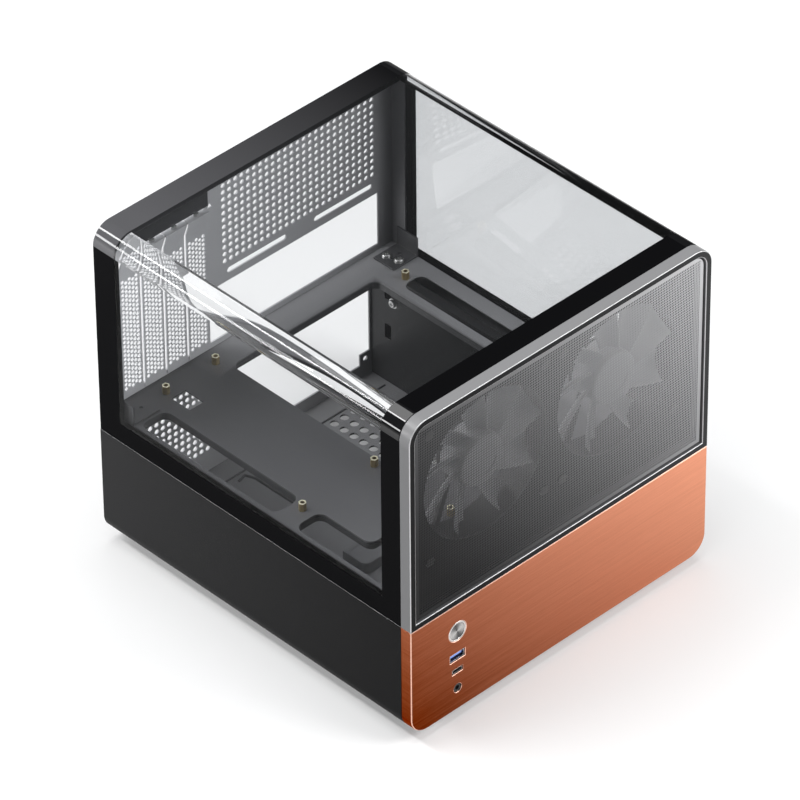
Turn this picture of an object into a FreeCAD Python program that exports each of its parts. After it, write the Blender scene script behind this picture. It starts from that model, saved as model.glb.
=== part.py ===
import FreeCAD, Part
import math
import os
import re

# Micro ATX desktop case: a bent glass hood over a folded steel body, mesh and metal front.
# Frame: the front faces -Y, +X is to the right seen from the front, +Z is up.
# The origin lies on the ground, below the middle of the case. Lengths are in millimetres.

sizeTable = [
    # Outer form
    ("case_width", 278),
    ("case_depth", 300),
    ("shell_height", 260.5),
    ("seam_height", 90),
    ("foot_height", 8),
    ("corner_radius", 15),
    # Walls and gaps
    ("glass_wall", 4),
    ("shell_wall", 1.5),
    ("sheet_wall", 1.2),
    ("lift_gap", 0.3),
    ("rear_inset", 1),
    # Front frame, mesh and lower panel
    ("frame_depth", 9.5),
    ("frame_rim", 5),
    ("mesh_gap", 1.4),
    ("mesh_recess", 1.6),
    ("mesh_wall", 0.8),
    ("mesh_border", 3.4),
    ("mesh_columns", 30),
    ("mesh_rows", 2),
    ("mesh_slit", 4),
    ("mesh_bridge", 2.4),
    ("panel_wall", 2.5),
    ("panel_chamfer", 0.6),
    # Front controls and sockets
    ("control_side", 42.6),
    ("button_z", 67.1),
    ("button_radius", 6.5),
    ("button_thickness", 3),
    ("button_travel", 1.2),
    ("button_sink", 0.3),
    ("button_gap", 0.08),
    ("stem_radius", 2),
    ("ring_wall", 1.4),
    ("ring_depth", 5.5),
    ("fit_gap", 0.05),
    ("usb_a_z", 45.8),
    ("usb_a_width", 13.1),
    ("usb_a_height", 5.7),
    ("usb_c_z", 33.4),
    ("usb_c_width", 8.94),
    ("usb_c_height", 3.26),
    ("socket_wall", 0.3),
    ("socket_margin", 0.4),
    ("audio_z", 18.3),
    ("audio_radius", 3.5),
    ("audio_bore", 1.78),
    ("board_wide", 27),
    ("board_tall", 68),
    ("board_thickness", 1.6),
    ("switch_size", 8),
    ("switch_depth", 2.6),
    # Board tray
    ("tray_top", 105.3),
    ("tray_gap", 0.2),
    ("cooler_reach", 180.5),
    ("cooler_wide", 136),
    ("cooler_long", 174.5),
    ("cooler_back", 25.5),
    ("slot_wide", 18.7),
    ("slot_side", 18),
    ("slot_long", 116.5),
    ("slot_back", 43.5),
    ("cable_side", 9.2),
    ("cable_wide", 23.2),
    ("cable_long", 132),
    ("cable_back", 30),
    ("lower_cable_front", 30),
    ("lower_cable_step", 71),
    ("cable_bridge", 19),
    ("step_wide", 22.6),
    ("small_gap", 11.7),
    ("small_wide", 12.6),
    ("small_long", 17.9),
    ("small_back", 23.7),
    ("cutout_radius", 7),
    # Stand-offs in the micro ATX pattern
    ("board_side", 22.8),
    ("board_back", 6.4),
    ("standoff_height", 6.5),
    ("standoff_across", 5),
    ("standoff_bore", 1.5),
    ("board_sheet", 1.6),
    ("hole_col_1", 6.35),
    ("hole_col_2", 163.83),
    ("hole_col_2b", 209.55),
    ("hole_col_3", 229.87),
    ("hole_row_1", 10.16),
    ("hole_row_1b", 33.02),
    ("hole_row_2", 165.1),
    ("hole_row_3", 237.49),
    # Rear panel
    ("flange_depth", 14),
    ("io_width", 158.75),
    ("io_height", 44.45),
    ("io_side", 19),
    ("io_drop", 3.81),
    ("vent_reach", 143.6),
    ("vent_drop", 88.8),
    ("vent_pitch", 5.77),
    ("vent_hole", 3.8),
    ("vent_columns", 25),
    ("vent_rows", 12),
    ("small_sides", 6),
    ("handle_length", 55),
    ("handle_height", 4.6),
    ("handle_drop", 98.2),
    ("handle_reach", 141.6),
    ("handle_step", 81.2),
    ("exhaust_reach", 64),
    ("exhaust_low", 21),
    ("exhaust_columns", 11),
    ("exhaust_rows", 12),
    # Expansion slots
    ("slot_count", 4),
    ("slot_pitch", 20.32),
    ("slot_reach", 169.65),
    ("cover_width", 18.42),
    ("cover_wall", 0.86),
    ("cover_rise", 1.3),
    ("cover_bend_drop", 11.7),
    ("cover_drop", 35.6),
    ("cover_jog", 3.7),
    ("cover_lip", 1),
    ("cover_slit", 1.9),
    ("cover_slit_pitch", 3.4),
    ("cover_slit_columns", 4),
    ("cover_slit_rows", 1),
    ("cover_slit_rise", 7.4),
    ("cover_slit_bridge", 2.4),
    ("retainer_height", 15),
    ("screw_head_radius", 3.1),
    ("screw_head_height", 2),
    ("screw_shank", 1.5),
    # Power supply bay
    ("psu_side", 177),
    ("psu_low", 10.5),
    ("psu_width", 150),
    ("psu_height", 86),
    ("psu_margin", 1.5),
    ("psu_hole_inset", 6),
    ("psu_hole_rise", 64),
    ("psu_hole_top_x", 120),
    ("psu_hole_top_rise", 80),
    ("psu_hole_radius", 2),
    ("psu_ear", 10),
    ("psu_gap", 0.2),
    ("side_plate_front", 70),
    ("window_wide", 6),
    ("window_tall", 12),
    ("window_back", 22),
    ("window_low", 40),
    ("window_step", 34),
    ("intake_slits", 10),
    ("intake_slit", 6.7),
    ("intake_pitch", 9.75),
    ("intake_length", 104),
    ("intake_inset", 23),
    ("intake_rear", 128),
    # Fans
    ("fan_size", 120),
    ("fan_depth", 25),
    ("fan_pitch", 122),
    ("fan_drop", 76.5),
    ("fan_bore", 58.2),
    ("fan_corner", 5),
    ("fan_hole_pitch", 105),
    ("fan_hole_radius", 2.15),
    ("fan_opening", 56),
    ("hub_radius", 20),
    ("hub_depth", 20),
    ("hub_sides", 36),
    ("hub_sink", 1.4),
    ("axle_radius", 1.5),
    ("axle_gap", 0.05),
    ("mount_thickness", 3),
    ("strut_width", 4),
    ("blade_count", 9),
    ("blade_tip", 56),
    ("blade_thickness", 1),
    ("blade_chord", 13),
    ("blade_camber", 1.6),
    ("blade_pitch", 33),
    ("blade_growth", 1.9),
    ("blade_lean", 20),
    ("blade_sink", 3),
    # Rails, brackets and feet
    ("rail_top", 84),
    ("rail_height", 10),
    ("rail_width", 6),
    ("hood_rail_height", 13),
    ("hood_rail_inset", 14),
    ("hook_length", 18),
    ("hook_drop", 4),
    ("bracket_wide", 24),
    ("bracket_deep", 20),
    ("bracket_wall", 1.5),
    ("bracket_back", 8),
    ("bracket_leg", 16),
    ("foot_radius", 10),
    ("round_sides", 24),
    ("foot_side", 27),
    ("foot_end", 28),
]

doc = FreeCAD.newDocument("pc_case")
sheet = doc.addObject("Spreadsheet::Sheet", "sizes")
size = {}
for row, (alias, number) in enumerate(sizeTable, start=1):
    sheet.set("A%d" % row, alias)
    sheet.set("B%d" % row, str(number))
    sheet.setAlias("B%d" % row, alias)
    size[alias] = number
doc.recompute()

# Planes that many pieces share, as formulas on the sheet
front = "(-case_depth / 2)"
rear = "(case_depth / 2)"
seam = "(foot_height + seam_height)"
roof = "(foot_height + shell_height)"
chassisFront = "(-case_depth / 2 + frame_depth)"
chassisBack = "(-case_depth / 2 + frame_depth + sheet_wall)"
panelBack = "(case_depth / 2 - rear_inset)"
panelFront = "(case_depth / 2 - rear_inset - sheet_wall)"
floorTop = "(foot_height + shell_wall)"
trayTop = "(foot_height + tray_top)"
innerHalf = "(case_width / 2 - glass_wall - lift_gap)"
shellHalf = "(case_width / 2 - shell_wall - lift_gap)"

# Places that follow a side, the roof or the rear: what lines up keeps its distance from it
derived = {
    "control_x": "(control_side - case_width / 2)",
    "cooler_left": "(case_width / 2 - cooler_reach)",
    "cooler_right": "(cooler_left + cooler_wide)",
    "cooler_rear": "(case_depth - cooler_back)",
    "cooler_front": "(cooler_rear - cooler_long)",
    "slot_right": "(case_width / 2 - slot_side)",
    "slot_left": "(slot_right - slot_wide)",
    "slot_rear": "(case_depth - slot_back)",
    "slot_front": "(slot_rear - slot_long)",
    "cable_left": "(cable_side - case_width / 2)",
    "cable_right": "(cable_left + cable_wide)",
    "cable_rear": "(case_depth - cable_back)",
    "cable_front": "(cable_rear - cable_long)",
    "lower_cable_rear": "(cable_front - cable_bridge)",
    "step_right": "(cable_right + step_wide)",
    "small_left": "(cable_right + small_gap)",
    "small_right": "(small_left + small_wide)",
    "small_rear": "(case_depth - small_back)",
    "small_front": "(small_rear - small_long)",
    "board_right": "(case_width / 2 - board_side)",
    "board_rear": "(case_depth - board_back)",
    "io_right": "(case_width / 2 - io_side)",
    "vent_left": "(io_right - vent_reach)",
    "vent_low": "(shell_height - vent_drop)",
    "handle_left": "(io_right - handle_reach)",
    "handle_right": "(handle_left + handle_step)",
    "handle_z": "(shell_height - handle_drop)",
    "first_slot_x": "(io_right - slot_reach)",
    "cover_low": "(tray_top + cover_rise)",
    "cover_top": "(shell_height - cover_drop)",
    "cover_bend": "(cover_top - cover_bend_drop)",
    "cover_slit_low": "(cover_low + cover_slit_rise)",
    "psu_left": "(case_width / 2 - psu_side)",
    "side_plate_x": "(psu_left + psu_width + psu_gap)",
    "exhaust_left": "(psu_left - exhaust_reach)",
    "intake_left": "(psu_left + intake_inset)",
    "intake_front": "(case_depth - intake_rear)",
    "window_y": "(case_depth - window_back)",
    "fan_z": "(shell_height - fan_drop)",
    "bracket_rear": "(case_depth - bracket_back)",
    "foot_x": "(case_width / 2 - foot_side)",
    "foot_y": "(case_depth / 2 - foot_end)",
}

xAxis = FreeCAD.Vector(1, 0, 0)
yAxis = FreeCAD.Vector(0, 1, 0)
zAxis = FreeCAD.Vector(0, 0, 1)
# Turns that lay a cylinder, which stands along +Z, along another axis
alongY = FreeCAD.Rotation(xAxis, -90)
alongZ = FreeCAD.Rotation()
# The turn that stands a wedge, which grows along +Y, along +Z
standing = FreeCAD.Rotation(xAxis, 90)

subparts = []


def fromSheet(formula):
    # Every sheet name in a plain formula becomes a reference to its cell; derived places are written out
    def cell(found):
        word = found.group()
        if word in derived:
            return fromSheet(derived[word])
        return "sizes." + word if word in size else word

    return re.sub(r"[a-z][a-z0-9_]*", cell, formula)


def bind(item, path, formula):
    item.setExpression(path, fromSheet(formula))


def place(item, corner, turn=None):
    if turn is not None:
        item.Placement = FreeCAD.Placement(FreeCAD.Vector(), turn)
    for axis, formula in zip("xyz", corner):
        bind(item, "Placement.Base." + axis, formula)


def newBody(name):
    body = doc.addObject("PartDesign::Body", name)
    body.Label = name
    subparts.append(body)
    return body


def keepPart(item, name):
    item.Label = name
    subparts.append(item)
    return item


def block(body, kind, tag, sizes, corner):
    # kind is Additive or Subtractive; corner is the lowest corner
    item = body.newObject("PartDesign::" + kind + "Box", body.Name + "_" + tag)
    for prop, formula in zip(("Length", "Width", "Height"), sizes):
        bind(item, prop, formula)
    place(item, corner)
    return item


def rod(body, kind, tag, radius, length, start, turn):
    item = body.newObject("PartDesign::" + kind + "Cylinder", body.Name + "_" + tag)
    bind(item, "Radius", radius)
    bind(item, "Height", length)
    place(item, start, turn)
    return item


def smallRod(body, kind, tag, radius, length, start, turn):
    # A screw hole or a shank with few faces: a six-sided prism
    item = body.newObject("PartDesign::" + kind + "Prism", body.Name + "_" + tag)
    item.Polygon = size["small_sides"]
    bind(item, "Circumradius", radius)
    bind(item, "Height", length)
    place(item, start, turn)
    return item


def edgesAlong(feature, direction, wanted):
    # Names of the straight edges along a direction whose middle is wanted
    doc.recompute()
    names = []
    for number, edge in enumerate(feature.Shape.Edges, start=1):
        if not isinstance(edge.Curve, (Part.Line, Part.LineSegment)):
            continue
        run = edge.Vertexes[-1].Point - edge.Vertexes[0].Point
        if abs(run.dot(direction)) > 0.999 * run.Length and wanted(edge.CenterOfMass):
            names.append("Edge%d" % number)
    return names


def roundOff(body, tag, feature, direction, wanted, radius):
    names = edgesAlong(feature, direction, wanted)
    if not names:
        raise RuntimeError("no edges to round on " + body.Name + " " + tag)
    item = body.newObject("PartDesign::Fillet", body.Name + "_" + tag)
    item.Base = (feature, names)
    bind(item, "Radius", radius)
    return item


def repeat(body, tag, features, role, spacing, count):
    item = body.newObject("PartDesign::LinearPattern", body.Name + "_" + tag)
    item.Originals = features
    item.Direction = (originAxis(body, role), [""])
    item.Mode = "Spacing"
    bind(item, "Offset", spacing)
    bind(item, "Occurrences", count)
    body.Tip = item
    return item


def slitField(body, tag, sizes, corner, pitch, columns, step, rows):
    # Upright slits in columns and rows: the rows are cut one by one, then the column is repeated
    features = []
    for row in range(rows):
        low = "%s + %d * %s" % (corner[2], row, step)
        features.append(block(body, "Subtractive", "%s_row_%d" % (tag, row), sizes, (corner[0], corner[1], low)))
    return repeat(body, tag, features, "X_Axis", pitch, columns)


def originAxis(body, role):
    for feature in body.Origin.OriginFeatures:
        if feature.Role == role:
            return feature
    raise RuntimeError("no axis " + role)


def outside(feature, axis, sign):
    # A test for middles that lie on one outer side of a feature's own box
    def test(middle):
        box = feature.Shape.BoundBox
        limit = {"x": (box.XMin, box.XMax), "y": (box.YMin, box.YMax), "z": (box.ZMin, box.ZMax)}[axis]
        return abs(getattr(middle, axis) - limit[sign]) < 0.01

    return test


def nearLevel(level, halfWidth, tolerance=0.05):
    # A test for middles at one height whose distance from the middle plane is known
    def test(middle):
        return abs(middle.z - level) < tolerance and abs(abs(middle.x) - halfWidth) < tolerance

    return test


# Outer casing


def bentCorners(body, outline, side, level, halfWidth, outerRadius, wall):
    # Rounds the two bends of a folded sheet, inside and outside; side 0 is the floor, 1 the roof
    roundOff(body, "inner_bends", body.Tip, yAxis, nearLevel(level, halfWidth), outerRadius + " - " + wall)
    roundOff(body, "bends", body.Tip, yAxis, outside(outline, "z", side), outerRadius)


def glassHood():
    # One sheet of tempered glass bent twice over the case
    body = newBody("glass_hood")
    depth = "case_depth - frame_depth - lift_gap"
    height = "shell_height - seam_height"
    start = "-case_depth / 2 + frame_depth + lift_gap"
    outer = block(body, "Additive", "outer", ("case_width", depth, height), ("-case_width / 2", start, seam))
    room = ("case_width - 2 * glass_wall", depth, height + " - glass_wall")
    block(body, "Subtractive", "room", room, ("-case_width / 2 + glass_wall", start, seam))
    ceiling = size["foot_height"] + size["shell_height"] - size["glass_wall"]
    bentCorners(body, outer, 1, ceiling, size["case_width"] / 2 - size["glass_wall"], "corner_radius", "glass_wall")
    return body


def lowerShell():
    # Folded steel: two sides and the floor with the supply's air intake
    body = newBody("lower_shell")
    depth = "case_depth - frame_depth"
    outer = block(body, "Additive", "outer", ("case_width", depth, "seam_height"),
                  ("-case_width / 2", chassisFront, "foot_height"))
    room = ("case_width - 2 * shell_wall", depth, "seam_height")
    block(body, "Subtractive", "room", room, ("-case_width / 2 + shell_wall", chassisFront, floorTop))
    level = size["foot_height"] + size["shell_wall"]
    bentCorners(body, outer, 0, level, size["case_width"] / 2 - size["shell_wall"], "corner_radius", "shell_wall")
    slit = block(body, "Subtractive", "intake", ("intake_slit", "intake_length", "3 * shell_wall"),
                 ("intake_left - intake_slit / 2", front + " + intake_front", "foot_height - shell_wall"))
    repeat(body, "intakes", [slit], "X_Axis", "intake_pitch", "intake_slits")
    return body


def frontFrame():
    # Metal ring round the mesh, flush with the glass
    body = newBody("front_frame")
    height = "shell_height - seam_height"
    outer = block(body, "Additive", "outer", ("case_width", "frame_depth", height),
                  ("-case_width / 2", front, seam))
    block(body, "Subtractive", "window", ("case_width - 2 * frame_rim", "frame_depth", height + " - 2 * frame_rim"),
          ("-case_width / 2 + frame_rim", front, seam + " + frame_rim"))
    ceiling = size["foot_height"] + size["shell_height"] - size["frame_rim"]
    bentCorners(body, outer, 1, ceiling, size["case_width"] / 2 - size["frame_rim"], "corner_radius", "frame_rim")
    return body


def frontMesh():
    # Pressed grille with folded edges that stand on the chassis
    body = newBody("front_mesh")
    inset = "(frame_rim + mesh_gap)"
    wide = "case_width - 2 * " + inset
    tall = "shell_height - seam_height - 2 * " + inset
    deep = "frame_depth - mesh_recess"
    left = "-case_width / 2 + " + inset
    low = seam + " + " + inset
    face = front + " + mesh_recess"
    outer = block(body, "Additive", "outer", (wide, deep, tall), (left, face, low))
    block(body, "Subtractive", "hollow", (wide + " - 2 * mesh_wall", deep, tall + " - 2 * mesh_wall"),
          (left + " + mesh_wall", face + " + mesh_wall", low + " + mesh_wall"))
    edge = size["frame_rim"] + size["mesh_gap"] + size["mesh_wall"]
    ceiling = size["foot_height"] + size["shell_height"] - edge
    bentCorners(body, outer, 1, ceiling, size["case_width"] / 2 - edge,
                "corner_radius - frame_rim - mesh_gap", "mesh_wall")
    pitch = "(" + wide + " - 2 * mesh_border - mesh_slit) / (mesh_columns - 1)"
    step = "((" + tall + " - 2 * mesh_border + mesh_bridge) / mesh_rows)"
    slitField(body, "slits", ("mesh_slit", "3 * mesh_wall", step + " - mesh_bridge"),
              (left + " + mesh_border", face + " - mesh_wall", low + " + mesh_border"),
              pitch, "mesh_columns", step, size["mesh_rows"])
    return body


def frontLowerPanel():
    # Brushed metal cover with the holes for the button and the sockets
    body = newBody("front_lower_panel")
    outer = block(body, "Additive", "outer", ("case_width", "frame_depth", "seam_height"),
                  ("-case_width / 2", front, "foot_height"))
    block(body, "Subtractive", "hollow",
          ("case_width - 2 * panel_wall", "frame_depth", "seam_height - 2 * panel_wall"),
          ("-case_width / 2 + panel_wall", front + " + panel_wall", "foot_height + panel_wall"))
    level = size["foot_height"] + size["panel_wall"]
    bentCorners(body, outer, 0, level, size["case_width"] / 2 - size["panel_wall"], "corner_radius", "panel_wall")
    doc.recompute()
    bends = body.Tip
    face = outside(bends, "y", 0)
    rim = ["Edge%d" % number for number, edge in enumerate(bends.Shape.Edges, start=1)
           if face(edge.CenterOfMass)]
    chamfer = body.newObject("PartDesign::Chamfer", "front_lower_panel_chamfer")
    chamfer.Base = (bends, rim)
    bind(chamfer, "Size", "panel_chamfer")
    start = front + " - panel_wall"
    rod(body, "Subtractive", "button_hole", "button_radius + button_gap + ring_wall + fit_gap",
        "3 * panel_wall", ("control_x", start, "foot_height + button_z"), alongY)
    for socket in ("usb_a", "usb_c"):
        wide = socket + "_width + 2 * socket_margin"
        tall = socket + "_height + 2 * socket_margin"
        block(body, "Subtractive", socket + "_hole", (wide, "3 * panel_wall", tall),
              ("control_x - (" + wide + ") / 2", start, "foot_height + " + socket + "_z - (" + tall + ") / 2"))
    rod(body, "Subtractive", "audio_hole", "audio_radius + fit_gap", "3 * panel_wall",
        ("control_x", start, "foot_height + audio_z"), alongY)
    return body


def feet():
    # Four rubber feet with many small flats round them
    parts = []
    for number, (signX, signY) in enumerate(((-1, -1), (1, -1), (1, 1), (-1, 1))):
        foot = doc.addObject("Part::Prism", "foot_%d" % number)
        foot.Polygon = size["round_sides"]
        bind(foot, "Circumradius", "foot_radius")
        bind(foot, "Height", "foot_height")
        place(foot, ("%d * foot_x" % signX, "%d * foot_y" % signY, "0"))
        parts.append(foot)
    group = doc.addObject("Part::Compound", "feet")
    group.Links = parts
    return keepPart(group, "feet")


# Chassis


def bulkheadLower(body, start, thickness):
    # The part of a cross wall that stands inside the lower shell
    lower = block(body, "Additive", "lower", ("2 * " + shellHalf, thickness, "seam_height - shell_wall"),
                  ("-" + shellHalf, start, floorTop))
    return roundOff(body, "lower_corners", lower, yAxis, outside(lower, "z", 0),
                    "corner_radius - shell_wall - lift_gap")


def chassisFrontWall():
    # Steel wall that carries the fans, the front frame and the socket board
    body = newBody("chassis_front")
    bulkheadLower(body, chassisFront, "sheet_wall")
    height = "shell_height - seam_height - glass_wall - lift_gap"
    upper = block(body, "Additive", "upper", ("2 * " + innerHalf, "sheet_wall", height),
                  ("-" + innerHalf, chassisFront, seam))
    roundOff(body, "upper_corners", body.Tip, yAxis, outside(upper, "z", 1),
             "corner_radius - glass_wall - lift_gap")
    start = chassisFront + " - sheet_wall"
    for side, sign in (("left", "-"), ("right", "")):
        centre = sign + "fan_pitch / 2"
        rod(body, "Subtractive", side + "_opening", "fan_opening", "3 * sheet_wall",
            (centre, start, "foot_height + fan_z"), alongY)
        for number, (signX, signZ) in enumerate(((-1, -1), (1, -1), (1, 1), (-1, 1))):
            smallRod(body, "Subtractive", "%s_hole_%d" % (side, number), "fan_hole_radius", "3 * sheet_wall",
                     ("%s + %d * fan_hole_pitch / 2" % (centre, signX), start,
                      "foot_height + fan_z + %d * fan_hole_pitch / 2" % signZ), alongY)
    block(body, "Subtractive", "socket_opening", ("board_wide - 6", "3 * sheet_wall", "board_tall - 6"),
          ("control_x - board_wide / 2 + 3", start, "foot_height + audio_z - 3.5"))
    return body


def rearPanel():
    # Rear sheet with folded rim, board aperture, slot window, vents and supply opening
    body = newBody("rear_panel")
    height = "shell_height - seam_height - glass_wall - lift_gap"
    upper = block(body, "Additive", "upper", ("2 * " + innerHalf, "flange_depth", height),
                  ("-" + innerHalf, panelBack + " - flange_depth", seam))
    block(body, "Subtractive", "hollow",
          ("2 * " + innerHalf + " - 2 * sheet_wall", "flange_depth - sheet_wall", height + " - sheet_wall"),
          ("-" + innerHalf + " + sheet_wall", panelBack + " - flange_depth", seam))
    edge = size["glass_wall"] + size["lift_gap"] + size["sheet_wall"]
    bentCorners(body, upper, 1, size["foot_height"] + size["shell_height"] - edge, size["case_width"] / 2 - edge,
                "corner_radius - glass_wall - lift_gap", "sheet_wall")
    bulkheadLower(body, panelFront, "sheet_wall")
    start = panelFront + " - sheet_wall"
    through = "3 * sheet_wall"
    block(body, "Subtractive", "io_opening", ("io_width", through, "io_height"),
          ("io_right - io_width", start, trayTop + " + standoff_height + board_sheet - io_drop"))
    span = "((slot_count - 1) * slot_pitch + cover_width)"
    block(body, "Subtractive", "slot_window",
          (span + " - 2 * cover_lip", through, "cover_top - cover_low + 2 * cover_lip"),
          ("first_slot_x + cover_width / 2 - " + span + " + cover_lip", start,
           "foot_height + cover_low + 3 * cover_lip"))
    block(body, "Additive", "slot_ledge",
          (span, "cover_jog - cover_wall + sheet_wall", "sheet_wall"),
          ("first_slot_x + cover_width / 2 - " + span, panelFront + " - cover_jog + cover_wall",
           "foot_height + cover_top - cover_wall - sheet_wall"))
    vent = block(body, "Subtractive", "vent", ("(vent_columns - 1) * vent_pitch + vent_hole", through, "vent_hole"),
                 ("vent_left - vent_hole / 2", start, "foot_height + vent_low - vent_hole / 2"))
    repeat(body, "vents", [vent], "Z_Axis", "vent_pitch", "vent_rows")
    for side in ("left", "right"):
        block(body, "Subtractive", "handle_" + side, ("handle_length", through, "handle_height"),
              ("handle_" + side, start, "foot_height + handle_z - handle_height / 2"))
    exhaust = block(body, "Subtractive", "exhaust",
                    ("(exhaust_columns - 1) * vent_pitch + vent_hole", through, "vent_hole"),
                    ("exhaust_left - vent_hole / 2", start, "foot_height + exhaust_low - vent_hole / 2"))
    repeat(body, "exhausts", [exhaust], "Z_Axis", "vent_pitch", "exhaust_rows")
    block(body, "Subtractive", "psu_opening",
          ("psu_width - 2 * psu_margin", through, "psu_height - 2 * psu_margin"),
          ("psu_left + psu_margin", start, "foot_height + psu_low + psu_margin"))
    for number, (across, rise) in enumerate(psuHoles()):
        block(body, "Additive", "psu_ear_%d" % number, ("psu_ear", "sheet_wall", "psu_ear"),
              ("psu_left + %s - psu_ear / 2" % across, panelFront,
               "foot_height + psu_low + %s - psu_ear / 2" % rise))
        rod(body, "Subtractive", "psu_hole_%d" % number, "psu_hole_radius", through,
            ("psu_left + " + across, start, "foot_height + psu_low + " + rise), alongY)
    return body


def psuHoles():
    # The four screw places of an ATX power supply, from its lower left corner seen from the front
    return (
        ("psu_hole_inset", "psu_hole_inset"),
        ("psu_width - psu_hole_inset", "psu_hole_inset"),
        ("psu_hole_inset", "psu_hole_inset + psu_hole_rise"),
        ("psu_hole_top_x", "psu_hole_top_rise"),
    )


def motherboardTray():
    # Flat tray with folded sides and openings for the cooler plate and the cables
    body = newBody("motherboard_tray")
    half = "(" + innerHalf + " - sheet_wall - tray_gap)"
    deep = panelFront + " - " + chassisBack
    block(body, "Additive", "plate", ("2 * " + half, deep, "sheet_wall"),
          ("-" + half, chassisBack, trayTop + " - sheet_wall"))
    drop = "tray_top - rail_top"
    block(body, "Additive", "left_fold", ("sheet_wall", deep, drop),
          ("-" + half, chassisBack, "foot_height + rail_top"))
    block(body, "Additive", "right_fold", ("sheet_wall", deep, drop),
          (half + " - sheet_wall", chassisBack, "foot_height + rail_top"))
    for name, left, right, near, far in trayOpenings():
        block(body, "Subtractive", name, (right + " - " + left, far + " - " + near, "3 * sheet_wall"),
              (left, front + " + " + near, trayTop + " - 2 * sheet_wall"))
    corners = body.Tip
    stepFront = size["lower_cable_front"] - size["case_depth"] / 2
    folds = size["case_width"] / 2 - size["glass_wall"] - size["lift_gap"] - size["sheet_wall"] - size["tray_gap"]

    def atOpening(middle):
        atFolds = abs(middle.x) > folds - 1.3 * size["sheet_wall"]
        return not atFolds and middle.y > stepFront + 1

    roundOff(body, "opening_corners", corners, zAxis, atOpening, "cutout_radius")
    block(body, "Subtractive", "small_opening",
          ("small_right - small_left", "small_rear - small_front", "3 * sheet_wall"),
          ("small_left", front + " + small_front", trayTop + " - 2 * sheet_wall"))
    return body


def trayOpenings():
    return (
        ("cooler_opening", "cooler_left", "cooler_right", "cooler_front", "cooler_rear"),
        ("side_slot", "slot_left", "slot_right", "slot_front", "slot_rear"),
        ("cable_opening", "cable_left", "cable_right", "cable_front", "cable_rear"),
        ("lower_opening", "cable_left", "cable_right", "lower_cable_front", "lower_cable_rear"),
        ("lower_step", "cable_left", "step_right", "lower_cable_front", "lower_cable_step"),
    )


def standoffs():
    # Threaded brass posts in the micro ATX pattern
    places = (
        ("hole_col_2b", "hole_row_1"), ("hole_col_2", "hole_row_1"), ("hole_col_1", "hole_row_1b"),
        ("hole_col_1", "hole_row_2"), ("hole_col_2", "hole_row_2"), ("hole_col_3", "hole_row_2"),
        ("hole_col_1", "hole_row_3"), ("hole_col_2", "hole_row_3"),
    )
    parts = []
    for number, (col, line) in enumerate(places):
        corner = ("board_right - " + col, front + " + board_rear - " + line, trayTop)
        post = doc.addObject("Part::Prism", "post_%d" % number)
        post.Polygon = 6
        bind(post, "Circumradius", "standoff_across / sqrt(3)")
        bind(post, "Height", "standoff_height")
        place(post, corner)
        bore = doc.addObject("Part::Cylinder", "post_bore_%d" % number)
        bind(bore, "Radius", "standoff_bore")
        bind(bore, "Height", "standoff_height")
        place(bore, corner)
        cut = doc.addObject("Part::Cut", "standoff_%d" % number)
        cut.Base = post
        cut.Tool = bore
        parts.append(cut)
    group = doc.addObject("Part::Compound", "standoffs")
    group.Links = parts
    return keepPart(group, "standoffs")


def sideRail(side, sign):
    # Bar along one side between the cross walls; the tray stands on it
    body = newBody("side_rail_" + side)
    left = "-" + shellHalf if sign < 0 else shellHalf + " - rail_width"
    block(body, "Additive", "bar", ("rail_width", panelFront + " - " + chassisBack, "rail_height"),
          (left, chassisBack, "foot_height + rail_top - rail_height"))
    block(body, "Subtractive", "channel",
          ("rail_width - sheet_wall", panelFront + " - " + chassisBack, "rail_height - 2 * sheet_wall"),
          (left + (" + sheet_wall" if sign < 0 else ""), chassisBack,
           "foot_height + rail_top - rail_height + sheet_wall"))
    return body


def psuSidePlate():
    # Upright plate beside the power supply, from the floor to the tray
    body = newBody("psu_side_plate")
    deep = panelFront + " - (" + front + " + side_plate_front)"
    block(body, "Additive", "plate", ("sheet_wall", deep, "tray_top - sheet_wall - shell_wall"),
          ("side_plate_x", front + " + side_plate_front", floorTop))
    block(body, "Additive", "foot_fold", ("rail_width * 1.5", deep, "sheet_wall"),
          ("side_plate_x", front + " + side_plate_front", floorTop))
    block(body, "Additive", "top_fold", ("rail_width", deep, "sheet_wall"),
          ("side_plate_x - rail_width", front + " + side_plate_front", trayTop + " - 2 * sheet_wall"))
    window = block(body, "Subtractive", "window", ("3 * sheet_wall", "window_wide", "window_tall"),
                   ("side_plate_x - sheet_wall", front + " + window_y", "foot_height + window_low"))
    repeat(body, "windows", [window], "Z_Axis", "window_step", "2")
    return body


def cornerBracket(side, sign):
    # Angle piece that ties the tray to the rear panel's folded rim
    body = newBody("corner_bracket_" + side)
    edge = "(" + innerHalf + " - sheet_wall)"
    left = "-" + edge if sign < 0 else edge + " - bracket_wide"
    block(body, "Additive", "base", ("bracket_wide", "bracket_deep", "bracket_wall"),
          (left, front + " + bracket_rear - bracket_deep", trayTop))
    leg = "-" + edge if sign < 0 else edge + " - bracket_wall"
    block(body, "Additive", "leg", ("bracket_wall", "bracket_deep", "bracket_leg"),
          (leg, front + " + bracket_rear - bracket_deep", trayTop))
    hole = smallRod(body, "Subtractive", "hole", "screw_shank", "3 * bracket_wall",
                    (left + " + bracket_wide / 3", front + " + bracket_rear - bracket_deep / 2",
                     trayTop + " - bracket_wall"), alongZ)
    repeat(body, "holes", [hole], "X_Axis", "bracket_wide / 3", "2")
    return body


# Expansion slot covers


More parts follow.
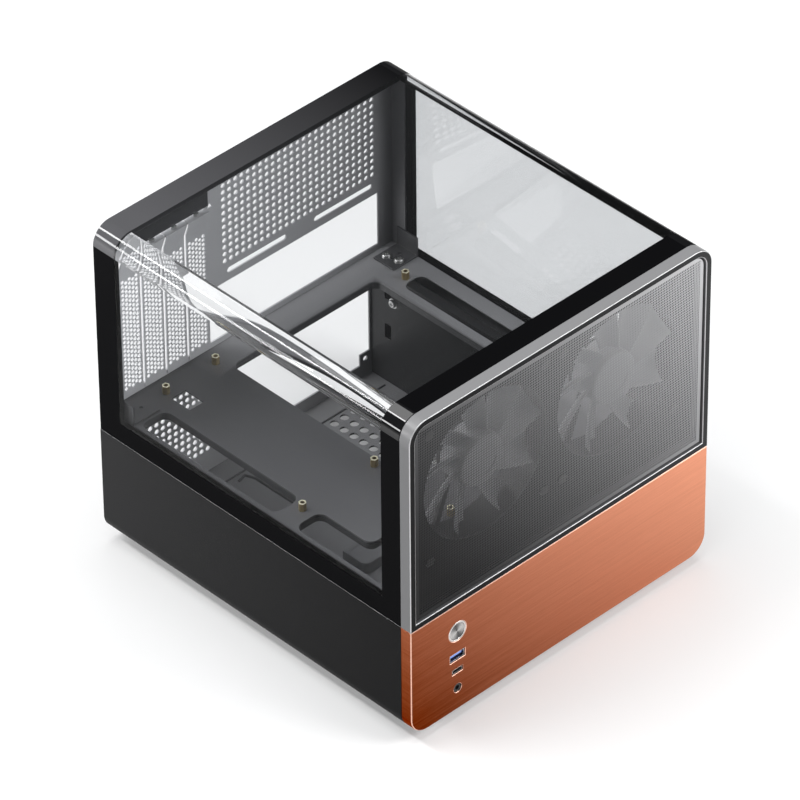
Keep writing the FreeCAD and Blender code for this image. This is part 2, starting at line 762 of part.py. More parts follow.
def slotCover(number):
    # Pressed strip: straight, jogged inwards near the top, with a screw tab
    body = newBody("slot_cover_%d" % (number + 1))
    left = "first_slot_x - %d * slot_pitch - cover_width / 2" % number
    straight = "cover_bend - cover_low"
    block(body, "Additive", "strip", ("cover_width", "cover_wall", straight),
          (left, panelFront + " - cover_wall", "foot_height + cover_low"))
    jog = body.newObject("PartDesign::AdditiveWedge", body.Name + "_jog")
    setWedge(jog)
    place(jog, (left, panelFront, "foot_height + cover_bend"), standing)
    block(body, "Additive", "tab", ("cover_width", "cover_jog + sheet_wall + rear_inset / 2", "cover_wall"),
          (left, panelFront + " - cover_wall - cover_jog", "foot_height + cover_top - cover_wall"))
    step = "((cover_bend - cover_slit_low) / cover_slit_rows)"
    slitField(body, "slits", ("cover_slit", "3 * cover_wall", step + " - cover_slit_bridge"),
              (left + " + cover_width / 2 - (cover_slit_columns - 1) * cover_slit_pitch / 2 - cover_slit / 2",
               panelFront + " - 2 * cover_wall", "foot_height + cover_slit_low"),
              "cover_slit_pitch", "cover_slit_columns", step, size["cover_slit_rows"])
    block(body, "Subtractive", "screw_notch",
          ("2 * (screw_shank + fit_gap)", "cover_jog + sheet_wall + rear_inset", "3 * cover_wall"),
          (left + " + cover_width / 2 - screw_shank - fit_gap",
           panelFront + " - cover_jog / 2 + cover_wall / 2 - screw_shank - fit_gap",
           "foot_height + cover_top - 2 * cover_wall"))
    return body


def setWedge(wedge):
    # A leaning strip: its top lies cover_jog further in than its foot
    bind(wedge, "Xmin", "0")
    bind(wedge, "Xmax", "cover_width")
    bind(wedge, "X2min", "0")
    bind(wedge, "X2max", "cover_width")
    bind(wedge, "Ymin", "0")
    bind(wedge, "Ymax", "cover_top - cover_bend")
    bind(wedge, "Zmin", "0")
    bind(wedge, "Zmax", "cover_wall")
    bind(wedge, "Z2min", "cover_jog")
    bind(wedge, "Z2max", "cover_wall + cover_jog")


def slotRetainer():
    # Folded strip inside the rear panel that presses on the cover tabs
    body = newBody("slot_retainer")
    span = "((slot_count - 1) * slot_pitch + cover_width + 4 * cover_lip)"
    left = "first_slot_x + cover_width / 2 + 2 * cover_lip - " + span
    block(body, "Additive", "strip", (span, "sheet_wall", "retainer_height"),
          (left, panelFront + " - sheet_wall", "foot_height + cover_top + screw_head_height"))
    return body


def slotScrews():
    # Round-headed screws that hold the slot covers on the ledge
    parts = []
    for number in range(size["slot_count"]):
        across = "first_slot_x - %d * slot_pitch" % number
        along = panelFront + " - cover_jog / 2 + cover_wall / 2"
        head = doc.addObject("Part::Prism", "screw_head_%d" % number)
        head.Polygon = size["small_sides"]
        bind(head, "Circumradius", "(cover_jog + cover_wall) / 2")
        bind(head, "Height", "screw_head_height - fit_gap")
        place(head, (across, along, "foot_height + cover_top"))
        shank = doc.addObject("Part::Prism", "screw_shank_%d" % number)
        shank.Polygon = size["small_sides"]
        bind(shank, "Circumradius", "screw_shank")
        bind(shank, "Height", "cover_wall")
        place(shank, (across, along, "foot_height + cover_top - cover_wall"))
        screw = doc.addObject("Part::Fuse", "slot_screw_%d" % number)
        screw.Base = head
        screw.Tool = shank
        parts.append(screw)
    group = doc.addObject("Part::Compound", "slot_screws")
    group.Links = parts
    return keepPart(group, "slot_screws")


# Fans


def fanFrame(side, sign):
    # Square frame with a round duct, rear struts and the bearing tube
    body = newBody("fan_frame_" + side)
    centre = "%d * fan_pitch / 2" % sign
    middle = "foot_height + fan_z"
    outer = block(body, "Additive", "outer", ("fan_size", "fan_depth", "fan_size"),
                  (centre + " - fan_size / 2", chassisBack, middle + " - fan_size / 2"))
    corners = body.newObject("PartDesign::Chamfer", body.Name + "_corners")
    corners.Base = (outer, edgesAlong(outer, yAxis, lambda point: True))
    bind(corners, "Size", "fan_corner")
    rod(body, "Subtractive", "duct", "fan_bore", "fan_depth", (centre, chassisBack, middle), alongY)
    mountStart = chassisBack + " + fan_depth - mount_thickness"
    mount = smallRod(body, "Additive", "mount", "hub_radius", "mount_thickness", (centre, mountStart, middle), alongY)
    mount.Polygon = size["round_sides"]
    for number in range(4):
        strut = body.newObject("PartDesign::AdditiveBox", "%s_strut_%d" % (body.Name, number))
        bind(strut, "Length", "strut_width")
        bind(strut, "Width", "mount_thickness")
        bind(strut, "Height", "fan_bore + 1")
        turn = FreeCAD.Rotation(yAxis, 90 * number + 20)
        place(strut, (centre, mountStart, middle), turn)
    rod(body, "Subtractive", "axle_bore", "axle_radius + axle_gap", "mount_thickness",
        (centre, mountStart, middle), alongY)
    for number, (signX, signZ) in enumerate(((-1, -1), (1, -1), (1, 1), (-1, 1))):
        smallRod(body, "Subtractive", "hole_%d" % number, "fan_hole_radius", "fan_depth",
                 ("%s + %d * fan_hole_pitch / 2" % (centre, signX), chassisBack,
                  middle + " + %d * fan_hole_pitch / 2" % signZ), alongY)
    return body


def bladeSection(radius, scale, shift):
    # The arched, slanted section of one blade as six corners; the outer one is drawn larger and shifted
    slant = math.radians(size["blade_pitch"])
    run = FreeCAD.Vector(0, math.sin(slant), math.cos(slant)) * scale
    across = FreeCAD.Vector(0, math.cos(slant), -math.sin(slant)) * scale
    middle = FreeCAD.Vector(radius, 0, shift)
    half = size["blade_chord"] / 2
    camber = size["blade_camber"]
    wall = size["blade_thickness"]
    hollow = [middle - run * half, middle + across * camber, middle + run * half]
    domed = [middle + run * half + across * wall / 2, middle + across * (camber + wall),
             middle - run * half + across * wall / 2]
    return hollow + domed


def bladeSolid(root, reach):
    # Sections of the same shape give flat faces between them
    inner = bladeSection(root, 1, 0)
    outer = bladeSection(reach, size["blade_growth"], size["blade_lean"])
    faces = [Part.Face(Part.makePolygon(inner + inner[:1])), Part.Face(Part.makePolygon(outer + outer[:1]))]
    for one in range(6):
        two = (one + 1) % 6
        faces.append(Part.Face(Part.makePolygon([inner[one], inner[two], outer[two], outer[one], inner[one]])))
    blade = Part.makeSolid(Part.makeShell(faces))
    if blade.Volume < 0:
        blade.reverse()
    return blade


def manySided(radius, depth):
    # A drum along +Y whose flats are narrow enough to read as round
    corners = []
    for number in range(size["hub_sides"] + 1):
        angle = 2 * math.pi * number / size["hub_sides"]
        corners.append(FreeCAD.Vector(radius * math.cos(angle), 0, radius * math.sin(angle)))
    return Part.Face(Part.makePolygon(corners)).extrude(yAxis * depth)


def fanRotor(side, sign):
    # Motor hub with its axle and a ring of curved blades that lean back and widen outwards
    hub = size["hub_radius"] - size["fit_gap"]
    depth = size["hub_depth"]
    cup = manySided(hub, depth)
    axle = Part.makeCylinder(size["axle_radius"], size["fan_depth"] - size["hub_sink"] - depth,
                             FreeCAD.Vector(0, depth - 1, 0), yAxis)
    # The blade runs from inside the hub past the tip circle and is trimmed there
    blade = bladeSolid(hub - size["blade_sink"], size["blade_tip"] + size["blade_sink"])
    blade.translate(FreeCAD.Vector(0, depth / 2 - size["blade_camber"], 0))
    blade = blade.common(manySided(size["blade_tip"], size["fan_depth"]))
    blades = []
    for number in range(size["blade_count"]):
        copy = blade.copy()
        copy.rotate(FreeCAD.Vector(), yAxis, 360 / size["blade_count"] * number)
        blades.append(copy)
    rotor = doc.addObject("Part::Feature", "fan_rotor_" + side)
    rotor.Shape = cup.multiFuse([axle] + blades)
    place(rotor, ("%d * fan_pitch / 2" % sign, chassisBack + " + hub_sink", "foot_height + fan_z"))
    return keepPart(rotor, "fan_rotor_" + side)


def fanScrews():
    # Self-tapping screws through the chassis into the fan frames
    parts = []
    for sign in (-1, 1):
        for number, (signX, signZ) in enumerate(((-1, -1), (1, -1), (1, 1), (-1, 1))):
            tag = "%d_%d" % (sign + 1, number)
            across = "%d * fan_pitch / 2 + %d * fan_hole_pitch / 2" % (sign, signX)
            up = "foot_height + fan_z + %d * fan_hole_pitch / 2" % signZ
            head = doc.addObject("Part::Prism", "fan_screw_head_" + tag)
            head.Polygon = size["small_sides"]
            bind(head, "Circumradius", "screw_head_radius + 1")
            bind(head, "Height", "screw_head_height")
            place(head, (across, chassisFront + " - screw_head_height", up), alongY)
            shank = doc.addObject("Part::Prism", "fan_screw_shank_" + tag)
            shank.Polygon = size["small_sides"]
            bind(shank, "Circumradius", "fan_hole_radius - fit_gap")
            bind(shank, "Height", "fan_depth / 3")
            place(shank, (across, chassisFront, up), alongY)
            screw = doc.addObject("Part::Fuse", "fan_screw_" + tag)
            screw.Base = head
            screw.Tool = shank
            parts.append(screw)
    group = doc.addObject("Part::Compound", "fan_screws")
    group.Links = parts
    return keepPart(group, "fan_screws")


# Front controls and sockets


def powerRing():
    # Sleeve pressed into the panel round the button
    body = newBody("power_ring")
    where = ("control_x", front, "foot_height + button_z")
    rod(body, "Additive", "sleeve", "button_radius + button_gap + ring_wall", "ring_depth", where, alongY)
    rod(body, "Subtractive", "bore", "button_radius + button_gap", "ring_depth", where, alongY)
    return body


def powerButton():
    # Spun cap on a stem that reaches the switch
    body = newBody("power_button")
    up = "foot_height + button_z"
    rod(body, "Additive", "cap", "button_radius", "button_thickness",
        ("control_x", front + " + button_sink", up), alongY)
    reach = "frame_depth + sheet_wall - switch_depth - button_travel - fit_gap - button_sink"
    smallRod(body, "Additive", "stem", "stem_radius", reach, ("control_x", front + " + button_sink", up), alongY)
    return body


def powerSwitch():
    # Momentary switch behind the button
    body = newBody("power_switch")
    block(body, "Additive", "case", ("switch_size", "switch_depth", "switch_size"),
          ("control_x - switch_size / 2", chassisBack + " - switch_depth",
           "foot_height + button_z - switch_size / 2"))
    return body


def socketShell(name, label):
    # Open metal shell of a USB socket, from the board to just behind the panel's face
    body = newBody(label)
    wide = name + "_width"
    tall = name + "_height"
    start = front + " + panel_chamfer"
    deep = "frame_depth + sheet_wall - panel_chamfer"
    outer = block(body, "Additive", "outer", (wide, deep, tall),
                  ("control_x - " + wide + " / 2", start, "foot_height + " + name + "_z - " + tall + " / 2"))
    block(body, "Subtractive", "mouth",
          (wide + " - 2 * socket_wall", deep + " - socket_wall", tall + " - 2 * socket_wall"),
          ("control_x - " + wide + " / 2 + socket_wall", start,
           "foot_height + " + name + "_z - " + tall + " / 2 + socket_wall"))
    if name == "usb_c":
        halfTall = size["usb_c_height"] / 2

        def atMouth(middle):
            return abs(abs(middle.z - size["foot_height"] - size["usb_c_z"]) - halfTall) > size["fit_gap"]

        roundOff(body, "inner_rounds", body.Tip, yAxis, atMouth, tall + " / 2 - socket_wall - fit_gap")
        roundOff(body, "rounds", body.Tip, yAxis, lambda point: outside(outer, "x", 0)(point)
                 or outside(outer, "x", 1)(point), tall + " / 2 - fit_gap")
    return body


def socketTongue(name, label, share, thickness):
    # Contact carrier inside a USB socket, standing on the socket's back wall
    body = newBody(label)
    wide = "(" + name + "_width * %s)" % share
    block(body, "Additive", "tongue", (wide, "frame_depth - 2 * panel_chamfer", thickness),
          ("control_x - " + wide + " / 2", chassisBack + " - socket_wall - frame_depth + 2 * panel_chamfer",
           "foot_height + " + name + "_z - " + thickness + " / 2"))
    return body


def audioJack():
    # Round barrel of the headphone socket on its square foot
    body = newBody("audio_jack")
    up = "foot_height + audio_z"
    deep = "frame_depth + sheet_wall - panel_chamfer"
    rod(body, "Additive", "barrel", "audio_radius", deep, ("control_x", front + " + panel_chamfer", up), alongY)
    block(body, "Additive", "foot", ("switch_size", "switch_depth", "switch_size - 1"),
          ("control_x - switch_size / 2", chassisBack + " - switch_depth", up + " - switch_size / 2 + 0.5"))
    rod(body, "Subtractive", "bore", "audio_bore", deep, ("control_x", front + " + panel_chamfer", up), alongY)
    return body


def socketBoard():
    # Circuit board behind the chassis wall that carries the sockets and the switch
    body = newBody("socket_board")
    block(body, "Additive", "board", ("board_wide", "board_thickness", "board_tall"),
          ("control_x - board_wide / 2", chassisBack, "foot_height + audio_z - 6.5"))
    return body


# Lift-off hood parts


def hoodRail(side, sign):
    # Steel strip bonded inside the glass, with two hooks that drop beside the tray
    body = newBody("hood_rail_" + side)
    face = "(case_width / 2 - glass_wall)"
    left = "-" + face if sign < 0 else face + " - sheet_wall"
    start = "-case_depth / 2 + frame_depth + sheet_wall + hood_rail_inset"
    long = "case_depth - frame_depth - sheet_wall - 3 * hood_rail_inset"
    block(body, "Additive", "strip", ("sheet_wall", long, "hood_rail_height"), (left, start, seam + " + lift_gap"))
    block(body, "Additive", "front_hook", ("sheet_wall", "hook_length", "hook_drop + 1"),
          (left, start + " + hook_length", seam + " - hook_drop"))
    block(body, "Additive", "rear_hook", ("sheet_wall", "hook_length", "hook_drop + 1"),
          (left, start + " + " + long + " - 2 * hook_length", seam + " - hook_drop"))
    return body


lowerShell()
feet()
frontLowerPanel()
frontFrame()
frontMesh()
chassisFrontWall()
rearPanel()
sideRail("left", -1)
sideRail("right", 1)
motherboardTray()
standoffs()
psuSidePlate()
cornerBracket("left", -1)
cornerBracket("right", 1)
for slotNumber in range(size["slot_count"]):
    slotCover(slotNumber)
slotRetainer()
slotScrews()
fanFrame("left", -1)
fanFrame("right", 1)
fanRotor("left", -1)
fanRotor("right", 1)
fanScrews()
powerRing()
powerButton()
powerSwitch()
socketShell("usb_a", "usb_a_shell")
socketTongue("usb_a", "usb_a_tongue", 0.86, "1.8")
socketShell("usb_c", "usb_c_shell")
socketTongue("usb_c", "usb_c_tongue", 0.75, "0.7")
audioJack()
socketBoard()
glassHood()
hoodRail("left", -1)
hoodRail("right", 1)
doc.recompute()

for item in doc.Objects:
    if "Invalid" in item.State or "Error" in item.State:
        raise RuntimeError(item.Label + " failed: " + ", ".join(item.State))
for item in subparts:
    if item.Shape.isNull() or not item.Shape.isValid():
        raise RuntimeError(item.Label + " has no valid shape")

os.makedirs("parts", exist_ok=True)
for item in subparts:
    item.Shape.exportStep("parts/" + item.Label + ".step")
    print(item.Label, len(item.Shape.Solids), round(item.Shape.Volume, 1))
print("wrote", len(subparts), "parts")
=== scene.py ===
import math

import bpy
from mathutils import Matrix, Vector


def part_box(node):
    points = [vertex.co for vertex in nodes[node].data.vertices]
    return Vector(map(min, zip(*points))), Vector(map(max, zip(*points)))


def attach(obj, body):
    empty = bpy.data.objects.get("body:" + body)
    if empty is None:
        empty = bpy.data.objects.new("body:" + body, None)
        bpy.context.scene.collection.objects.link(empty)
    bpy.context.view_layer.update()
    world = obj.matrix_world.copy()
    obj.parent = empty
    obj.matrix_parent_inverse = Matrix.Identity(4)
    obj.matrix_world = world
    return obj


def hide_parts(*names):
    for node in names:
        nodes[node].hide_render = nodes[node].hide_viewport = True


# Micro ATX case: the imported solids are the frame, and the looks are built round them.
# Everything is in metres; mm turns the sizes below into metres.
mm = 0.001

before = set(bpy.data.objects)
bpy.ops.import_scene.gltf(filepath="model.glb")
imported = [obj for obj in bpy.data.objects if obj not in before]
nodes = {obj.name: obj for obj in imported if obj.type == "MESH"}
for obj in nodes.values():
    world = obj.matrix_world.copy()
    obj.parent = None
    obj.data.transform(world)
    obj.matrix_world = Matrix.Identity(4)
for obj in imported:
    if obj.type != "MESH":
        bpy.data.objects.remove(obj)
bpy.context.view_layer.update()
print("frame loaded:", len(nodes), "nodes")


# Making and cutting meshes

def deselectAll():
    if bpy.context.mode != "OBJECT":
        bpy.ops.object.mode_set(mode="OBJECT")
    bpy.ops.object.select_all(action="DESELECT")


def makeActive(piece):
    deselectAll()
    piece.select_set(True)
    bpy.context.view_layer.objects.active = piece


def applyPlace(piece, name):
    piece.name = name
    piece.data.name = name
    bpy.ops.object.transform_apply(location=True, rotation=True, scale=True)
    return piece


def addBlock(name, low, high):
    deselectAll()
    low, high = Vector(low), Vector(high)
    bpy.ops.mesh.primitive_cube_add(size=1, location=(low + high) / 2)
    bpy.context.object.scale = high - low
    return applyPlace(bpy.context.object, name)


def addRod(name, centre, radius, length, sides=16, turn=(math.pi / 2, 0, 0)):
    deselectAll()
    bpy.ops.mesh.primitive_cylinder_add(vertices=sides, radius=radius, depth=length, location=centre,
                                        rotation=turn)
    return applyPlace(bpy.context.object, name)


def selectEdges(piece, wanted):
    makeActive(piece)
    bpy.ops.object.mode_set(mode="EDIT")
    bpy.ops.mesh.select_mode(type="EDGE")
    bpy.ops.mesh.select_all(action="DESELECT")
    bpy.ops.object.mode_set(mode="OBJECT")
    points = [v.co for v in piece.data.vertices]
    for edge in piece.data.edges:
        first, second = (points[i] for i in edge.vertices)
        edge.select = wanted((first + second) / 2, (second - first).normalized())
    bpy.ops.object.mode_set(mode="EDIT")


def bevelEdges(piece, wanted, radius, segments=6):
    selectEdges(piece, wanted)
    bpy.ops.mesh.bevel(offset=radius, segments=segments, affect="EDGES")
    bpy.ops.object.mode_set(mode="OBJECT")


def alongY(middle, run):
    return abs(run.y) > 0.9


def alongZ(middle, run):
    return abs(run.z) > 0.9


def alongYAbove(height):
    return lambda middle, run: alongY(middle, run) and middle.z > height


def alongYBelow(height):
    return lambda middle, run: alongY(middle, run) and middle.z < height


def finishModifier(piece, kind, **settings):
    makeActive(piece)
    modifier = piece.modifiers.new(kind, kind)
    for name, value in settings.items():
        setattr(modifier, name, value)
    bpy.ops.object.modifier_apply(modifier=modifier.name)
    return piece


def repeatAlong(piece, step, count):
    return finishModifier(piece, "ARRAY", count=count, use_relative_offset=False, use_constant_offset=True,
                          constant_offset_displace=step)


def combine(piece, other, how="DIFFERENCE"):
    finishModifier(piece, "BOOLEAN", object=other, operation=how, solver="EXACT")
    bpy.data.objects.remove(other)
    return piece


def joinPieces(first, *others):
    makeActive(first)
    for other in others:
        other.select_set(True)
    bpy.ops.object.join()
    return first


def easeEdges(piece, width, angle=50, clamp=True):
    return finishModifier(piece, "BEVEL", width=width, segments=2, limit_method="ANGLE",
                          angle_limit=math.radians(angle), use_clamp_overlap=clamp)


def smoothed(piece, angle=35):
    makeActive(piece)
    bpy.ops.object.shade_smooth_by_angle(angle=math.radians(angle))
    return piece


def softened(node, name, width):
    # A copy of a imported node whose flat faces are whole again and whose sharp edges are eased
    piece = bpy.data.objects.new(name, nodes[node].data.copy())
    bpy.context.scene.collection.objects.link(piece)
    makeActive(piece)
    bpy.ops.object.mode_set(mode="EDIT")
    bpy.ops.mesh.select_all(action="SELECT")
    bpy.ops.mesh.remove_doubles(threshold=0.002 * mm)
    bpy.ops.mesh.dissolve_limited(angle_limit=math.radians(0.5))
    bpy.ops.object.mode_set(mode="OBJECT")
    easeEdges(piece, width, 30, clamp=False)
    return finishModifier(smoothed(piece, 40), "WEIGHTED_NORMAL", keep_sharp=True)


def dress(piece, body, finish, slot, *stoodFor):
    piece.data.materials.clear()
    piece.data.materials.append(finish)
    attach(piece, body)
    if stoodFor:
        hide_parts(*stoodFor)
    return piece


def coatFaces(piece, finish, wanted):
    # Faces whose normal is wanted take a coat of their own
    piece.data.materials.append(finish)
    number = len(piece.data.materials) - 1
    for face in piece.data.polygons:
        if wanted(face.normal):
            face.material_index = number


def facingFront(least, most=2):
    # Test for faces whose lean to the front lies between the two shares
    return lambda normal: least < -normal.y < most


def facingRear(normal):
    return normal.y > 0.5


# Materials: a value wraps a node's output, and sums of values add their maths nodes

class Value:
    def __init__(self, finish, socket):
        self.finish = finish
        self.socket = socket

    def math(self, operation, first, second):
        return self.finish.node("ShaderNodeMath", {"operation": operation}, {0: first, 1: second})

    def __add__(self, other): return self.math("ADD", self, other)
    def __radd__(self, other): return self.math("ADD", other, self)
    def __sub__(self, other): return self.math("SUBTRACT", self, other)
    def __rsub__(self, other): return self.math("SUBTRACT", other, self)
    def __mul__(self, other): return self.math("MULTIPLY", self, other)
    def __rmul__(self, other): return self.math("MULTIPLY", other, self)
    def __pow__(self, other): return self.math("POWER", self, other)
    def __gt__(self, other): return self.math("GREATER_THAN", self, other)
    def __lt__(self, other): return self.math("LESS_THAN", self, other)
    def __or__(self, other): return self.math("MAXIMUM", self, other)
    def __and__(self, other): return self.math("MINIMUM", self, other)


class Finish:
    def __init__(self, name):
        self.material = bpy.data.materials.new(name)
        self.material.use_nodes = True
        self.tree = self.material.node_tree
        self.tree.nodes.clear()
        self.place = self.node("ShaderNodeTexCoord", out="Object")

    def node(self, kind, settings=None, inputs=None, out=0):
        made = self.tree.nodes.new(kind)
        for name, value in (settings or {}).items():
            setattr(made, name, value)
        for name, value in (inputs or {}).items():
            if isinstance(value, Value):
                self.tree.links.new(value.socket, made.inputs[name])
            else:
                made.inputs[name].default_value = value
        return Value(self, made.outputs[out])

    def stretched(self, scale):
        return self.node("ShaderNodeMapping", inputs={"Vector": self.place, "Scale": scale})

    def noise(self, scale, detail=2.0, where=None, rough=0.5):
        return self.node("ShaderNodeTexNoise", inputs={
            "Vector": where or self.place, "Scale": scale, "Detail": detail, "Roughness": rough})

    def facing(self):
        return self.node("ShaderNodeLayerWeight", inputs={"Blend": 0.5}, out=1)

    def along(self, axis):
        return self.node("ShaderNodeSeparateXYZ", inputs={0: self.place}, out=axis)

    def ramp(self, value, low, high):
        return self.node("ShaderNodeMapRange", inputs={"Value": value, "From Min": low, "From Max": high})

    def mixColour(self, share, first, second):
        return self.node("ShaderNodeMix", {"data_type": "RGBA"}, {0: share, 6: first, 7: second}, out=2)

    def bump(self, height, strength, distance):
        return self.node("ShaderNodeBump", inputs={
            "Height": height, "Strength": strength, "Distance": distance})

    def shader(self, **sockets):
        names = {name.replace("_", " "): value for name, value in sockets.items()}
        return self.node("ShaderNodeBsdfPrincipled", inputs=names)

    def mixShader(self, share, first, second):
        return self.node("ShaderNodeMixShader", inputs={0: share, 1: first, 2: second})

    def done(self, shader):
        output = self.tree.nodes.new("ShaderNodeOutputMaterial")
        self.tree.links.new(shader.socket, output.inputs["Surface"])
        return self.material


def opaque(colour):
    return tuple(colour) + (1.0,)


coatGrain = 1800    # noise scale of a fine coat's grain
coatDepth = 0.2 * mm
fineDepth = 0.1 * mm


def paintedSteel(name, colour, rough):
    # Powder coat: a fine orange-peel grain, with a slow change in shade and gloss
    spread = 0.1
    f = Finish(name)
    grain = f.noise(coatGrain, 3.0)
    cloud = f.noise(9, 2.0)
    light = tuple(c * (1 + spread) for c in colour)
    dark = tuple(c * (1 - spread) for c in colour)
    shade = f.mixColour(f.ramp(cloud * 0.5 + grain * 0.5, 0.3, 0.7), opaque(dark), opaque(light))
    return f.done(f.shader(Base_Color=shade, Roughness=rough - 0.06 + grain * 0.12,
                           Normal=f.bump(grain, 0.02, coatDepth), Specular_IOR_Level=0.5))


def shadedSteel(name, dark, light, start, end, rough, gloss=0.5, axis="X", scale=coatGrain, bump=0.015):
    # Coat with painted light and shade: its colour runs from dark at start to light at end, along one axis of
    # the case
    f = Finish(name)
    grain = f.noise(scale, 3.0)
    share = f.ramp(f.along(axis), start, end) * 0.94 + grain * 0.06
    return f.done(f.shader(Base_Color=f.mixColour(share, opaque(dark), opaque(light)),
                           Roughness=rough - 0.05 + grain * 0.1, Normal=f.bump(grain, bump, coatDepth),
                           Specular_IOR_Level=gloss))


copperLook = {
    "deep": (0.13, 0.017, 0.001),
    "pale": (0.84, 0.38, 0.25),
    "sheen": (1.0, 0.42, 0.2),
    # where the run from painted shade to painted light starts and ends, counted along x plus 0.9 of the
    # height
    "start": -130 * mm,
    "end": 220 * mm,
    # how far the lines are drawn out on each axis
    "lines": (70, 70, 6400),
    "slowLines": (9, 9, 700),
}


def brushedCopper():
    # Fine level lines, with painted shade darkening the colour towards the lower left and painted light
    # towards the upper right
    f = Finish("brushedCopper")
    line = f.noise(1.0, 4.0, f.stretched(copperLook["lines"]), 0.7)
    slow = f.noise(1.0, 2.0, f.stretched(copperLook["slowLines"]))
    across = f.ramp(f.along("X") + f.along("Z") * 0.9, copperLook["start"], copperLook["end"])
    share = across + (f.ramp(line * 0.7 + slow * 0.3, 0.32, 0.68) - 0.5) * 0.2
    tone = f.mixColour(share, opaque(copperLook["deep"]), opaque(copperLook["pale"]))
    return f.done(f.shader(Base_Color=tone, Specular_Tint=opaque(copperLook["sheen"]), Metallic=1.0,
                           Roughness=0.27 + line * 0.16, Normal=f.bump(line, 0.3, fineDepth)))


def frontShade():
    # Front faces of the frame and the fan wall: near black as painted shade, a little lighter towards the
    # right as painted light
    f = Finish("frontShade")
    grain = f.noise(coatGrain, 3.0)
    share = f.ramp(f.along("X"), -0.1, 0.135) * 0.9 + grain * 0.1
    return f.done(f.shader(Base_Color=f.mixColour(share, (0.004, 0.004, 0.0045, 1), (0.03, 0.03, 0.031, 1)),
                           Specular_IOR_Level=0.06, Roughness=0.32 + grain * 0.1))


trayLook = {
    "front": (0.18, 0.18, 0.187),
    "rear": (0.05, 0.05, 0.053),
    "strip": (0.24, 0.24, 0.247),
    "fade": (-130 * mm, 100 * mm),
    # each painted highlight strip starts softly between two places
    "rearHighlightBand": (120 * mm, 128 * mm),
    "leftEndOfRearHighlight": (-60 * mm, -20 * mm),
    "rightStrip": (90 * mm, 97 * mm),
}


def traySteel():
    # Smooth coat with painted shade, darker towards the rear, and painted highlights as a paler strip along
    # the rear and the right
    f = Finish("traySteel")
    x, y = f.along("X"), f.along("Y")
    grain = f.noise(coatGrain, 3.0)
    toRear = f.ramp(y, *trayLook["fade"]) * 0.94 + grain * 0.06
    field = f.mixColour(toRear, opaque(trayLook["front"]), opaque(trayLook["rear"]))
    strip = ((f.ramp(y, *trayLook["rearHighlightBand"]) & f.ramp(x, *trayLook["leftEndOfRearHighlight"]))
             | f.ramp(x, *trayLook["rightStrip"]))
    return f.done(f.shader(Base_Color=f.mixColour(strip, field, opaque(trayLook["strip"])),
                           Specular_IOR_Level=0.5, Roughness=0.27 + grain * 0.1,
                           Normal=f.bump(grain, 0.015, coatDepth)))


meshLook = {
    "dark": (0.008, 0.008, 0.0085),
    "pale": (0.55, 0.55, 0.56),
    "middle": 0.18,
    "fade": (-0.16, 0.2),
}


def darkMesh():
    # Coated mesh with painted light, paler towards the upper right
    f = Finish("blackMesh")
    grain = f.noise(coatGrain, 3.0)
    across = f.along("X") + (f.along("Z") - meshLook["middle"]) * 0.8
    share = f.ramp(across, *meshLook["fade"]) ** 1.6 * 0.95 + grain * 0.05
    return f.done(f.shader(Base_Color=f.mixColour(share, opaque(meshLook["dark"]), opaque(meshLook["pale"])),
                           Specular_IOR_Level=0.06, Roughness=0.34 + grain * 0.1,
                           Normal=f.bump(grain, 0.1, coatDepth)))


def brushedMetal(name, dark, light, direction, rough, depth=0.15):
    # Fine lines along one direction; direction gives how far the noise is drawn out on each axis
    f = Finish(name)
    line = f.noise(1.0, 4.0, f.stretched(direction), 0.65)
    slow = f.noise(1.0, 2.0, f.stretched(tuple(scale / 7 for scale in direction)))
    share = f.ramp(line * 0.7 + slow * 0.3, 0.32, 0.68)
    return f.done(f.shader(Base_Color=f.mixColour(share, opaque(dark), opaque(light)), Metallic=1.0,
                           Roughness=rough - 0.08 + line * 0.16, Normal=f.bump(line, depth, fineDepth)))


def mouldedPlastic(name, colour, rough, grain=1400):
    f = Finish(name)
    noise = f.noise(grain, 2.0)
    light = tuple(min(1, c * 1.25 + 0.004) for c in colour)
    return f.done(f.shader(Base_Color=f.mixColour(noise, opaque(colour), opaque(light)),
                           Roughness=rough - 0.05 + noise * 0.1, Normal=f.bump(noise, 0.2, fineDepth)))


glassLook = {
    "tint": (0.9, 0.905, 0.91),
    # the printed border lies outside these places; the side and the bends start at the others
    "frontBand": -123.3 * mm,
    "rearBand": 129.2 * mm,
    "lowBand": 114.5 * mm,
    "sideStart": 125 * mm,
    "bendStart": 253.5 * mm,
    "bendInner": 124 * mm,
    "printColour": (0.004, 0.004, 0.0045),
    "printSheen": (0.085, 0.085, 0.09),
    "sheenFrom": 130 * mm,
    "paleTo": -110 * mm,
    "bendIndex": 1.5,
}


def litGlassRim():
    # The ground and polished rim of the glass, painted near white as a painted highlight for the light it
    # gathers
    f = Finish("litGlassRim")
    fine = f.noise(1500, 2.0)
    tone = f.mixColour(fine, (0.72, 0.74, 0.75, 1), (0.88, 0.9, 0.9, 1))
    return f.done(f.shader(Base_Color=tone, Roughness=0.22 + fine * 0.1,
                           Coat_Weight=0.6, Coat_Roughness=0.05))


